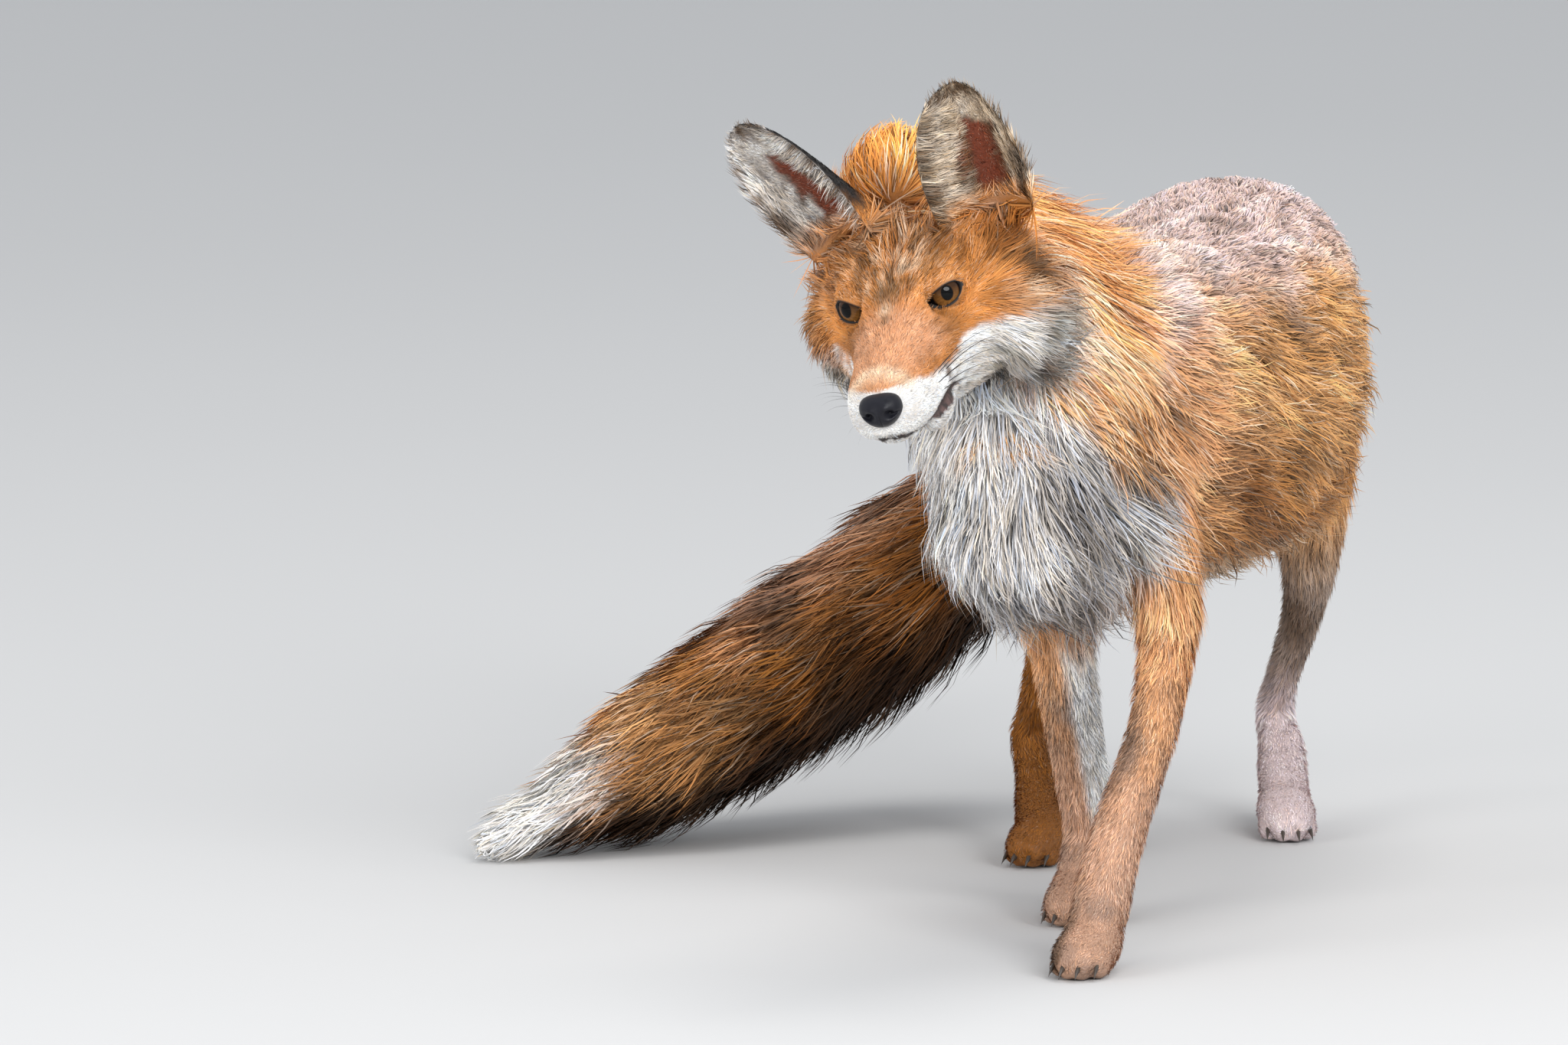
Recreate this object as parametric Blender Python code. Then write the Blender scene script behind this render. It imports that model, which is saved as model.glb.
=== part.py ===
"""A red fox, standing still, life size, as a museum model.

The body is modelled whole, out to the tips of its coat: tubes with oval
sections are laid along the trunk, neck, legs and tail, fused into one skin of
even faces, smoothed, and parted by thin cuts into the named parts. The ears,
eyes and nose are pieces of their own.

Lengths are centimetres in the tables and metres in the scene. The animal
faces -Y, its left side is +X, and it stands on z = 0.
"""

import math

import bmesh
import bpy
import numpy as np
from mathutils import Matrix, Vector

CM = 0.01
GAP = 0.0003  # clearance between neighbouring parts
SIDES = 24  # points round each oval section
STEPS = 5  # rings from one station of a tube to the next
VOXEL = 0.0046  # face size when the tubes are fused
BODY_FACES = 4190  # triangles kept for the whole body before it is parted

# Each station of a tube: x, y, z, half width, half height (outer, coat included).
TRUNK = [
    (-2.3, -13.0, 22.8, 2.8, 4.0),
    (-2.1, -11.0, 22.8, 5.2, 6.8),
    (-1.7, -6.5, 23.8, 7.0, 8.8),
    (-1.4, 0.0, 25.0, 8.0, 9.8),
    (-1.1, 6.0, 25.2, 8.5, 9.8),
    (-0.8, 12.0, 25.0, 8.9, 9.7),
    (-0.4, 18.0, 24.7, 9.3, 10.0),
    (-0.2, 24.0, 25.2, 9.0, 9.8),
    (-0.4, 30.0, 26.5, 7.9, 8.6),
    (-0.7, 35.0, 27.0, 6.2, 7.4),
    (-1.0, 39.0, 27.0, 3.6, 4.6),
]
NECK = [
    (-1.6, -2.0, 27.5, 6.6, 7.2),
    (-3.0, -6.5, 30.0, 6.8, 7.1),
    (-5.0, -10.0, 32.6, 6.5, 6.6),
    (-6.3, -12.8, 33.9, 5.4, 5.6),
]
MANE = [
    (-8.4, -12.6, 37.0, 2.2, 2.6),
    (-7.8, -10.4, 38.1, 3.2, 4.2),
    (-5.6, -6.5, 36.4, 3.6, 3.9),
    (-3.2, -2.5, 34.2, 3.8, 3.8),
    (-1.6, 2.0, 32.0, 3.6, 3.4),
]
TAIL = [
    (-1.4, 36.0, 28.6, 3.4, 3.4),
    (-3.6, 38.6, 26.8, 3.6, 3.6),
    (-8.6, 38.6, 21.6, 4.8, 4.8),
    (-15.6, 34.8, 14.5, 5.6, 5.6),
    (-22.8, 28.6, 8.6, 5.6, 5.6),
    (-28.6, 21.4, 4.5, 4.7, 4.8),
    (-32.6, 16.4, 2.4, 2.8, 2.6),
    (-35.8, 13.0, 0.7, 0.5, 0.8),
]
FORE_LEFT = [
    (3.0, -5.0, 23.5, 3.4, 4.6),
    (4.0, -3.8, 17.4, 2.6, 3.4),
    (4.2, -4.4, 14.8, 1.9, 2.2),
    (4.1, -7.2, 11.0, 1.4, 1.6),
    (3.3, -10.2, 7.0, 1.35, 1.5),
    (2.8, -11.9, 4.2, 1.25, 1.4),
    (2.7, -12.8, 2.4, 1.4, 1.5),
]
FORE_RIGHT = [
    (-3.8, -4.5, 23.5, 3.4, 4.6),
    (-2.6, -2.6, 17.4, 2.4, 3.2),
    (-2.0, -1.8, 14.6, 1.8, 2.1),
    (-2.0, 0.4, 10.6, 1.45, 1.6),
    (-1.7, 2.6, 6.6, 1.4, 1.5),
    (-1.5, 3.6, 4.0, 1.25, 1.4),
    (-1.5, 3.4, 2.4, 1.4, 1.5),
]
HIND_LEFT = [
    (3.0, 28.0, 26.0, 4.6, 6.6),
    (3.9, 28.8, 20.0, 3.4, 5.2),
    (4.1, 30.2, 15.6, 2.1, 3.3),
    (3.0, 33.2, 11.6, 1.4, 2.0),
    (1.1, 37.0, 7.6, 1.15, 1.5),
    (0.4, 38.4, 5.5, 1.3, 1.5),
    (1.2, 36.4, 3.6, 1.25, 1.3),
    (1.8, 33.8, 2.0, 1.4, 1.3),
]
HIND_RIGHT = [
    (-3.8, 27.5, 26.0, 4.6, 6.6),
    (-5.2, 24.0, 20.0, 3.6, 5.2),
    (-6.4, 21.0, 15.6, 2.4, 3.4),
    (-8.0, 23.2, 11.4, 1.6, 2.0),
    (-9.6, 26.2, 7.2, 1.2, 1.6),
    (-10.0, 26.8, 5.4, 1.35, 1.5),
    (-9.0, 24.4, 3.2, 1.3, 1.3),
    (-8.0, 22.2, 1.9, 1.4, 1.3),
]
# A paw, along its own length from heel to toe tips: reach, height, half sizes.
PAW = [
    (-1.9, 1.6, 0.9, 1.2),
    (-1.0, 1.6, 1.4, 1.6),
    (0.8, 1.45, 1.75, 1.6),
    (2.4, 1.1, 1.65, 1.3),
    (3.6, 0.75, 1.05, 0.85),
]
# Paw centre x, y and the way its toes point, in degrees towards the animal's left.
PAWS = {
    "fore_left": (2.75, -14.0, -6.0),
    "fore_right": (-1.5, 2.2, -4.0),
    "hind_left": (2.2, 32.4, 18.0),
    "hind_right": (-7.6, 20.8, -10.0),
}

# The head has a frame of its own: origin midway between the eyes.
HEAD_ORIGIN = (-5.8, -19.97, 33.69)
HEAD_SCALE = 1.027
HEAD_AXES = ((0.980, 0.016, 0.197), (-0.055, 0.979, 0.196), (-0.190, -0.202, 0.961))
HEAD = [
    (0.0, -8.1, -3.0, 1.0, 1.2),
    (0.0, -7.4, -3.0, 1.75, 1.8),
    (0.0, -6.0, -2.93, 2.05, 2.2),
    (0.05, -4.0, -2.77, 2.2, 2.5),
    (0.1, -2.25, -2.55, 2.55, 2.9),
    (0.13, -1.05, -2.42, 3.0, 3.3),
    (0.14, -0.05, -2.23, 3.6, 3.8),
    (0.16, 0.95, -2.05, 4.5, 4.3),
    (0.19, 2.35, -1.88, 5.6, 4.75),
    (0.23, 3.95, -1.71, 6.4, 5.0),
    (0.29, 5.95, -1.65, 6.2, 4.8),
    (0.39, 8.15, -1.8, 5.0, 4.1),
    (0.47, 9.75, -2.0, 3.0, 2.8),
]
RUFFS = {  # centre and half sizes of the long hair on each cheek
    "left": (4.7, 3.5, -3.2, 2.6, 3.4, 3.0),
    "right": (-3.3, 4.4, -3.45, 2.2, 3.2, 2.7),
}
BROW = (1.95, 1.3, 0.75, 1.3, 1.3, 0.9)
JOWL = (1.45, -3.2, -4.55, 0.9, 2.2, 1.05)
EYE = (2.1, 0.5, -0.05, 0.9)  # centre and radius
EYE_OUT = (0.60, -0.79, 0.12)  # the way the left eye looks out of its socket
LIDS = (0.84, 0.8, 0.58)  # half sizes of the opening: along, out of the head, up
NOSE = (0.0, -8.0, -2.8, 1.05, 0.95, 0.85)
# Each ear: base, tip, the way it opens, greatest half width, and the share by which its
# left edge draws in towards the tip.
EARS = {
    "left": ((4.27, 3.64, 1.98), (4.35, 3.27, 9.25), (0.20, -0.96, 0.15), 2.7, 0.3),
    "right": ((-3.01, 4.02, 1.83), (-6.65, 3.59, 8.9), (-0.53, -0.83, -0.04), 2.75, 0.0),
}
EAR_THICKNESS = 0.32

# Where each cut passes, the way it faces, and how far round it reaches.
CUTS = [
    ((-5.5, -11.7, 33.5), (-0.2, -0.85, 0.3), 9.5),
    ((-2.2, -6.5, 30.0), (-0.45, -0.6, 0.66), 13.0),
    ((-0.8, 12.5, 25.0), (0.0, 1.0, 0.0), 13.0),
    ((4.2, -4.6, 14.4), (0.1, 0.3, 1.0), 4.2),
    ((-2.0, -1.7, 14.4), (0.0, -0.3, 1.0), 4.0),
    ((4.0, 30.6, 14.8), (0.2, -0.5, 1.0), 4.8),
    ((-7.1, 22.0, 13.4), (0.35, -0.45, 0.85), 4.6),
    ((3.0, -11.3, 5.4), (0.3, 0.5, 1.0), 3.4),
    ((-1.6, 3.2, 5.2), (0.0, -0.2, 1.0), 3.4),
    ((1.1, 36.8, 4.0), (-0.3, 1.0, 0.6), 3.2),
    ((-9.2, 24.9, 3.8), (-0.4, 1.0, 0.6), 3.2),
    ((-8.4, 38.6, 21.8), (0.72, 0.2, 0.68), 7.5),
    ((-19.2, 31.8, 11.4), (0.6, 0.5, 0.5), 8.4),
    ((-28.8, 21.0, 4.8), (0.6, 0.65, 0.35), 7.2),
]
# A point near the middle of each part of the body, and its colour.
PARTS = {
    "head": ((-5.0, -18.0, 32.0), "orange"),
    "neck": ((-4.0, -9.0, 31.0), "orange"),
    "trunk_front": ((-1.5, 2.0, 25.0), "orange"),
    "trunk_rear": ((-0.5, 24.0, 25.5), "buff"),
    "tail_root": ((-12.0, 36.0, 18.0), "brown"),
    "tail_middle": ((-24.0, 26.5, 7.0), "brown"),
    "tail_tip": ((-31.5, 17.5, 2.5), "white"),
    "fore_leg_left": ((3.4, -8.0, 10.0), "tan"),
    "fore_leg_right": ((-3.4, 0.5, 10.0), "tan"),
    "fore_paw_left": ((2.2, -14.0, 1.8), "tan"),
    "fore_paw_right": ((-2.8, 2.4, 1.8), "tan"),
    "hind_leg_left": ((3.2, 34.8, 9.6), "grey"),
    "hind_leg_right": ((-8.4, 24.0, 9.6), "tan"),
    "hind_paw_left": ((3.0, 33.0, 1.8), "grey"),
    "hind_paw_right": ((-7.8, 21.4, 1.8), "tan"),
}
COLOURS = {
    "orange": (0.56, 0.21, 0.055),
    "buff": (0.50, 0.36, 0.24),
    "tan": (0.47, 0.25, 0.11),
    "grey": (0.33, 0.27, 0.22),
    "brown": (0.12, 0.07, 0.045),
    "white": (0.78, 0.74, 0.68),
    "black": (0.012, 0.012, 0.014),
    "amber": (0.10, 0.045, 0.012),
}


def clear_scene():
    for thing in list(bpy.data.objects):
        bpy.data.objects.remove(thing, do_unlink=True)


def link(name, mesh):
    thing = bpy.data.objects.new(name, mesh)
    bpy.context.scene.collection.objects.link(thing)
    return thing


def finish(thing, colour, roughness=0.9):
    """The part's own material, and smooth shading."""
    material = bpy.data.materials.new(thing.name)
    material.use_nodes = True
    shader = material.node_tree.nodes["Principled BSDF"]
    shader.inputs["Base Color"].default_value = (*COLOURS[colour], 1.0)
    shader.inputs["Roughness"].default_value = roughness
    thing.data.materials.clear()
    thing.data.materials.append(material)
    thing.data.shade_smooth()


def mesh_from(build):
    """A mesh from a function that fills a bmesh."""
    bm = bmesh.new()
    build(bm)
    bmesh.ops.recalc_face_normals(bm, faces=bm.faces)
    mesh = bpy.data.meshes.new("shape")
    bm.to_mesh(mesh)
    bm.free()
    return mesh


def evaluated(thing, name):
    """The object's mesh with its modifiers applied; the object is removed."""
    graph = bpy.context.evaluated_depsgraph_get()
    mesh = bpy.data.meshes.new_from_object(thing.evaluated_get(graph))
    bpy.data.objects.remove(thing, do_unlink=True)
    mesh.name = name
    return mesh


def head_matrix():
    """From the head's own centimetres to the scene's metres."""
    columns = np.array(HEAD_AXES).T * HEAD_SCALE * CM
    matrix = Matrix(columns.tolist()).to_4x4()
    matrix.translation = Vector(HEAD_ORIGIN) * CM
    return matrix


def smooth_stations(stations, steps=STEPS):
    """The stations with further ones between them, on a smooth curve."""
    known = np.array(stations, float)
    ends = np.vstack([2 * known[0] - known[1], known, 2 * known[-1] - known[-2]])
    rows = []
    for before, start, end, after in zip(ends, ends[1:], ends[2:], ends[3:]):
        for t in np.arange(steps) / steps:
            bend = 2 * before - 5 * start + 4 * end - after
            twist = 3 * start - before - 3 * end + after
            rows.append(start + 0.5 * t * ((end - before) + t * (bend + t * twist)))
    rows.append(known[-1])
    return np.array(rows)


def add_tube(bm, stations, across=(1.0, 0.0, 0.0), matrix=None, squareness=2.0):
    """A closed tube with an oval section, wide along `across`; 2 is an ellipse."""
    matrix = matrix or Matrix.Scale(CM, 4)
    rows = smooth_stations(stations)
    heading = np.gradient(rows[:, :3], axis=0)
    rings = []
    for row, forward in zip(rows, heading):
        forward = Vector(forward).normalized()
        side = Vector(across)
        side = (side - side.dot(forward) * forward).normalized()
        rise = side.cross(forward)
        ring = []
        for i in range(SIDES):
            angle = math.tau * i / SIDES
            bulge = (
                abs(math.cos(angle)) ** squareness + abs(math.sin(angle)) ** squareness
            ) ** (-1 / squareness)
            offset = side * (max(row[3], 0.05) * bulge * math.cos(angle))
            offset += rise * (max(row[4], 0.05) * bulge * math.sin(angle))
            ring.append(bm.verts.new(matrix @ (Vector(row[:3]) + offset)))
        rings.append(ring)
    for ring, following in zip(rings, rings[1:]):
        for i in range(SIDES):
            j = (i + 1) % SIDES
            bm.faces.new((ring[i], ring[j], following[j], following[i]))
    bm.faces.new(rings[0])
    bm.faces.new(rings[-1])


def add_ball(bm, centre, half_sizes, matrix, subdivisions=3):
    made = bmesh.ops.create_icosphere(bm, subdivisions=subdivisions, radius=1.0)
    place = matrix @ Matrix.Translation(centre) @ Matrix.Diagonal((*half_sizes, 1.0))
    bmesh.ops.transform(bm, matrix=place, verts=made["verts"])


def paw_stations(x, y, turn):
    """The paw's stations in the scene, with its toes turned by `turn` degrees."""
    toes = Vector((math.sin(math.radians(turn)), -math.cos(math.radians(turn)), 0.0))
    rows = []
    for reach, height, half_width, half_height in PAW:
        place = Vector((x, y, height)) + toes * reach
        rows.append((*place, half_width, half_height))
    return rows


def body_mesh():
    """The whole fused body: one closed mesh of even triangles."""
    head = head_matrix()

    def build(bm):
        add_tube(bm, TRUNK, squareness=2.3)
        for stations in (NECK, MANE, FORE_LEFT, FORE_RIGHT, HIND_LEFT, HIND_RIGHT):
            add_tube(bm, stations)
        add_tube(bm, TAIL, across=(0.5, -0.8, 0.0))
        for x, y, turn in PAWS.values():
            add_tube(bm, paw_stations(x, y, turn))
        add_tube(bm, HEAD, matrix=head)
        for ruff in RUFFS.values():
            add_ball(bm, ruff[:3], ruff[3:], head)
        for side in (1, -1):
            for x, y, z, *half in (BROW, JOWL):
                add_ball(bm, (side * x, y, z), half, head)

    thing = link("body", mesh_from(build))
    remesh = thing.modifiers.new("fuse", "REMESH")
    remesh.mode = "VOXEL"
    remesh.voxel_size = VOXEL
    smooth = thing.modifiers.new("smooth", "SMOOTH")
    smooth.factor = 0.5
    smooth.iterations = 5
    mesh = evaluated(thing, "fused")
    return thinned(mesh, BODY_FACES)


def thinned(mesh, triangles):
    """The mesh with about this many triangles."""
    thing = link("thin", mesh)
    split = thing.modifiers.new("triangles", "TRIANGULATE")
    split.quad_method = "BEAUTY"
    count = 2 * len(mesh.polygons)
    fewer = thing.modifiers.new("fewer", "DECIMATE")
    fewer.ratio = min(1.0, triangles / count)
    return evaluated(thing, "thinned")


def cut_floor(bm):
    """Flattens the soles, and whatever else lies on the floor."""
    everything = bm.verts[:] + bm.edges[:] + bm.faces[:]
    made = bmesh.ops.bisect_plane(
        bm, geom=everything, plane_no=(0, 0, 1), clear_inner=True
    )
    loops = [edge for edge in made["geom_cut"] if isinstance(edge, bmesh.types.BMEdge)]
    bmesh.ops.holes_fill(bm, edges=loops, sides=0)


def cut_apart(bm, centre, facing, reach):
    """Parts the mesh across one limb and closes both ends, a gap apart."""
    centre = Vector(centre) * CM
    facing = Vector(facing).normalized()
    near = [f for f in bm.faces if (f.calc_center_median() - centre).length < reach * CM]
    geometry = set(near)
    for face in near:
        geometry.update(face.verts)
        geometry.update(face.edges)
    made = bmesh.ops.bisect_plane(
        bm, geom=list(geometry), plane_co=centre, plane_no=facing, dist=1e-6
    )
    ring = [e for e in made["geom_cut"] if isinstance(e, bmesh.types.BMEdge)]
    ring = nearest_loop(ring, centre)
    bmesh.ops.split_edges(bm, edges=ring)
    open_edges = [e for e in bm.edges if e.is_boundary]
    for edge in open_edges:
        side = edge.link_faces[0].calc_center_median() - centre
        shift = facing * math.copysign(GAP / 2, side.dot(facing))
        for vert in edge.verts:
            offset = (vert.co - centre).dot(facing)
            vert.co += shift - facing * offset
    bmesh.ops.holes_fill(bm, edges=open_edges, sides=0)


def nearest_loop(edges, centre):
    """Of the closed loops in these edges, the one that runs nearest the centre."""
    left = set(edges)
    best, least = [], math.inf
    while left:
        loop = [left.pop()]
        for edge in loop:
            for vert in edge.verts:
                for other in vert.link_edges:
                    if other in left:
                        left.discard(other)
                        loop.append(other)
        middle = sum((e.verts[0].co for e in loop), Vector()) / len(loop)
        ends = [v for e in loop for v in e.verts]
        closed = all(ends.count(v) == 2 for v in set(ends))
        if closed and (middle - centre).length < least:
            best, least = loop, (middle - centre).length
    return best


def islands(bm):
    """The separate pieces of a bmesh, as lists of faces."""
    left = set(bm.faces)
    found = []
    while left:
        island = [left.pop()]
        for face in island:
            for edge in face.edges:
                for other in edge.link_faces:
                    if other in left:
                        left.discard(other)
                        island.append(other)
        found.append(island)
    return found


def make_body():
    """The fused body, parted and named."""
    bm = bmesh.new()
    bm.from_mesh(body_mesh())
    cut_floor(bm)
    for centre, facing, reach in CUTS:
        cut_apart(bm, centre, facing, reach)
    bmesh.ops.triangulate(bm, faces=bm.faces)
    made = {}
    for island in islands(bm):
        verts = list({v for face in island for v in face.verts})
        middle = sum((v.co for v in verts), Vector()) / len(verts)
        name = min(PARTS, key=lambda n: (Vector(PARTS[n][0]) * CM - middle).length)
        index = {v: i for i, v in enumerate(verts)}
        mesh = bpy.data.meshes.new(name)
        corners = [[index[v] for v in face.verts] for face in island]
        mesh.from_pydata([v.co for v in verts], [], corners)
        if name in made:
            raise ValueError(f"two pieces are nearest to {name}: {middle / CM}")
        made[name] = link(name, mesh)
        finish(made[name], PARTS[name][1])
    bm.free()
    missing = set(PARTS) - set(made)
    if missing:
        raise ValueError(f"no piece for {sorted(missing)}")
    return made


def ear_mesh(base, tip, opening, half_width, draw_in):
    """A cupped, leaf-shaped shell, thickest at its root."""
    base, tip = Vector(base), Vector(tip)
    length = (tip - base).length
    axis = (tip - base).normalized()
    front = Vector(opening)
    front = (front - front.dot(axis) * axis).normalized()
    side = axis.cross(front)
    matrix = head_matrix()
    across, along = 8, 9

    def build(bm):
        rings = []
        for j in range(along + 1):
            t = j / along
            width = half_width * ear_width(t)
            bend = math.radians(30 + 62 * (1 - t) ** 1.4)  # half angle of the cup
            ring = []
            for face, thick in ((1, 0.0), (-1, EAR_THICKNESS * (1.25 - 0.55 * t))):
                for i in range(across + 1):
                    u = face * (2 * i / across - 1)
                    radius = width / math.sin(bend)
                    angle = u * bend
                    edge = 1 - 0.85 * abs(u) ** 6  # the rim is thin
                    out = radius * (1 - math.cos(angle)) - radius * (1 - math.cos(bend))
                    across_cup = radius * math.sin(angle)
                    if across_cup > 0:
                        across_cup *= 1 - draw_in * min(max((t - 0.2) / 0.6, 0.0), 1.0)
                    place = base + axis * (length * t) + side * across_cup
                    place += front * (out - thick * edge)
                    ring.append(bm.verts.new(matrix @ place))
            rings.append(ring)
        count = len(rings[0])
        for ring, following in zip(rings, rings[1:]):
            for i in range(count):
                j = (i + 1) % count
                bm.faces.new((ring[i], ring[j], following[j], following[i]))
        bm.faces.new(rings[0])
        bm.faces.new(rings[-1])

    return mesh_from(build)


def ear_width(t):
    """The ear's half width along its height, as a share of the greatest."""
    if t < 0.4:
        return 0.86 + 0.14 * math.sin(math.pi / 2 * t / 0.4)
    fall = (t - 0.4) / 0.6
    return max(math.sqrt(max(1 - fall**2.15, 0.0)), 0.12)


def grown(thing, by):
    """A hidden copy of a piece, grown outwards, to cut its neighbours with."""
    mesh = thing.data.copy()
    normals = [v.normal.copy() for v in mesh.vertices]
    for vert, normal in zip(mesh.vertices, normals):
        vert.co += normal * by
    copy = link(f"cutter_{thing.name}", mesh)
    copy.hide_render = True
    copy.display_type = "WIRE"
    return copy


def cut_with(thing, cutter, solver="EXACT"):
    """Takes the cutter's shape out of the piece."""
    name = thing.name
    boolean = thing.modifiers.new("clearance", "BOOLEAN")
    boolean.operation = "DIFFERENCE"
    boolean.solver = solver
    boolean.object = cutter
    mesh = evaluated(thing, name)
    return link(name, mesh)


def keep_largest(thing):
    """Drops the crumbs that a cut leaves behind."""
    bm = bmesh.new()
    bm.from_mesh(thing.data)
    pieces = sorted(islands(bm), key=len)
    crumbs = [face for piece in pieces[:-1] for face in piece]
    bmesh.ops.delete(bm, geom=crumbs, context="FACES")
    bmesh.ops.triangulate(bm, faces=bm.faces)
    bm.to_mesh(thing.data)
    bm.free()


def ball_piece(name, centre, half_sizes, matrix):
    def build(bm):
        add_ball(bm, centre, half_sizes, matrix)

    return link(name, mesh_from(build))


def eye_matrix(side):
    """From a frame in the eye (along the lids, out, up) to the scene."""
    out = Vector((side * EYE_OUT[0], *EYE_OUT[1:])).normalized()
    along = out.cross((0, 0, 1)).normalized()
    up = along.cross(out)
    turn = Matrix((along, out, up)).transposed().to_4x4()
    return head_matrix() @ Matrix.Translation((side * EYE[0], *EYE[1:3])) @ turn


def make_eyes(head):
    """Two eyeballs, each in a socket behind an almond opening in the head."""
    for name, side in (("eye_left", 1), ("eye_right", -1)):
        matrix = eye_matrix(side)
        ball = ball_piece(name, (0, 0, 0), (EYE[3],) * 3, matrix)
        opening = ball_piece(f"cutter_{name}_lids", (0, LIDS[1], 0), LIDS, matrix)
        for cutter in (grown(ball, GAP), grown(opening, 0.0)):
            head = cut_with(head, cutter)
        bpy.data.objects.remove(opening, do_unlink=True)
        finish(ball, "amber", 0.12)
    return head


def make_nose(head):
    """The bare nose pad, set on the tip of the muzzle."""
    nose = ball_piece("nose", NOSE[:3], NOSE[3:], head_matrix())
    cutter = grown(nose, GAP)
    head = cut_with(head, cutter)
    finish(nose, "black", 0.45)
    return head


def make_ears(head):
    cutter = grown(head, GAP)
    for side, measures in EARS.items():
        ear = cut_with(link(f"ear_{side}", ear_mesh(*measures)), cutter, "MANIFOLD")
        keep_largest(ear)
        finish(ear, "brown")


def settle():
    """Moves the whole animal so that the middle of its bounding box's base is the origin."""
    nodes = [o for o in bpy.context.scene.objects if not o.hide_render]
    corners = np.array([v.co for o in nodes for v in o.data.vertices])
    low, high = corners.min(axis=0), corners.max(axis=0)
    middle = Vector(((low[0] + high[0]) / 2, (low[1] + high[1]) / 2, low[2]))
    for thing in bpy.context.scene.objects:
        thing.data.transform(Matrix.Translation(-middle))


def main():
    clear_scene()
    body = make_body()
    head = make_eyes(body["head"])
    head = make_nose(head)
    keep_largest(head)
    finish(head, PARTS["head"][1])
    make_ears(head)
    settle()


main()
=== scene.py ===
"""The looks of a red fox model: one skin, eyes, nose, claws, whiskers and a coat of tufts.

The anatomy is laid out in centimetres in the animal's own frame, where it faces -Y and its
left side is +X. `Frame.to_scene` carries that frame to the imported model's, in metres.
"""

import math
from types import SimpleNamespace

import bmesh
import bpy
import numpy as np
from mathutils import Matrix, Vector
from mathutils.bvhtree import BVHTree

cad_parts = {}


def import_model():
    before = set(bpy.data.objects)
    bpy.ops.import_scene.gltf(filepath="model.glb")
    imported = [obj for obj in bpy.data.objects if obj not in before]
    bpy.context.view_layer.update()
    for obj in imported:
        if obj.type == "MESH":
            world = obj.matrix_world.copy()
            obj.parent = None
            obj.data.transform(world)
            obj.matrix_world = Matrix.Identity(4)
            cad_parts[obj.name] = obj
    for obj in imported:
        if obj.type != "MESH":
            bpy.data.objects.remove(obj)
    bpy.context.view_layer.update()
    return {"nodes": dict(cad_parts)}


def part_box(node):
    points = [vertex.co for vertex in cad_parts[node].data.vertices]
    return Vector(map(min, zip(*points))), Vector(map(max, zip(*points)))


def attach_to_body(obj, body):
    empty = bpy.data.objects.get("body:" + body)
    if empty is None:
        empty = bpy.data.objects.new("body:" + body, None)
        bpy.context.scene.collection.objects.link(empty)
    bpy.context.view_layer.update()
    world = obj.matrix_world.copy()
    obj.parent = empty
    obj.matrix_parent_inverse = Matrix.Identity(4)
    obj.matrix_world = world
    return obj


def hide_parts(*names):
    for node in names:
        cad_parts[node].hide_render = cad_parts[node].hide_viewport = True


CM = 0.01
SEED = 7
STEPS = 5  # rows from one station of a tube to the next
SIDES = 32
SKIN_VOXEL = 0.0015
SKIN_SHADE = 0.62  # the skin under the coat is darker than the hair
ROOT_DEPTH = 0.05  # how far a tuft starts inside the skin, in centimetres
STRETCH_BLEND = 0.8  # how softly one stretch of the body passes into the next, in centimetres
HEAD_REACH = 12  # nothing of the face is further than this from the eyes
PATCH = 0.003  # side of one tuft's patch on the coat's unwrap
STRETCH_GAP = 40  # from one stretch of the body to the next on the unwrap, in centimetres
SKIN_TRIANGLES = 125000
PLACES_AT_ONCE = 20000  # measured together, to save memory
FLOOR_GAP = 0.04  # lowest height of a tuft, in centimetres
EAR_BEND = (30.0, 62.0)  # half angle of an ear's cup at its tip, and how much more it is at its root

# Stations: x, y, z, half width, half height out to the coat's tips, depth of the coat.
TRUNK = [
    (-2.3, -13.0, 22.8, 2.8, 4.0, 1.8),
    (-2.1, -11.0, 22.8, 5.2, 6.8, 2.4),
    (-1.7, -6.5, 23.8, 7.0, 8.8, 2.5),
    (-1.4, 0.0, 25.0, 8.0, 9.8, 2.4),
    (-1.1, 6.0, 25.2, 8.5, 9.8, 2.2),
    (-0.8, 12.0, 25.0, 8.9, 9.7, 2.1),
    (-0.4, 18.0, 24.7, 9.3, 10.0, 2.0),
    (-0.2, 24.0, 25.2, 9.0, 9.8, 1.9),
    (-0.4, 30.0, 26.5, 7.9, 8.6, 1.7),
    (-0.7, 35.0, 27.0, 6.2, 7.4, 1.6),
    (-1.0, 39.0, 27.0, 3.6, 4.6, 1.4),
]
NECK = [
    (-1.6, -2.0, 27.5, 6.6, 7.2, 2.4),
    (-3.0, -6.5, 30.0, 6.8, 7.1, 2.5),
    (-5.0, -10.0, 32.6, 6.5, 6.6, 2.3),
    (-6.3, -12.8, 33.9, 5.4, 5.6, 1.8),
]
MANE = [
    (-8.4, -12.6, 36.8, 2.8, 3.0, 1.3),
    (-8.1, -10.4, 37.9, 3.6, 4.1, 1.7),
    (-5.6, -6.5, 36.4, 3.6, 3.9, 2.6),
    (-3.2, -2.5, 34.2, 3.8, 3.8, 2.5),
    (-1.6, 2.0, 32.0, 3.6, 3.4, 2.2),
]
TAIL = [
    (-1.4, 36.0, 28.6, 3.4, 3.4, 1.6),
    (-3.6, 38.6, 26.8, 3.6, 3.6, 1.8),
    (-8.6, 38.6, 21.6, 4.8, 4.8, 2.5),
    (-15.6, 34.8, 14.5, 5.6, 5.6, 2.8),
    (-22.8, 28.6, 8.6, 5.6, 5.6, 2.8),
    (-28.6, 21.4, 4.5, 4.7, 4.8, 2.6),
    (-32.6, 16.4, 2.4, 2.8, 2.6, 2.0),
    (-35.8, 13.0, 0.7, 0.5, 0.8, 0.4),
]
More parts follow.
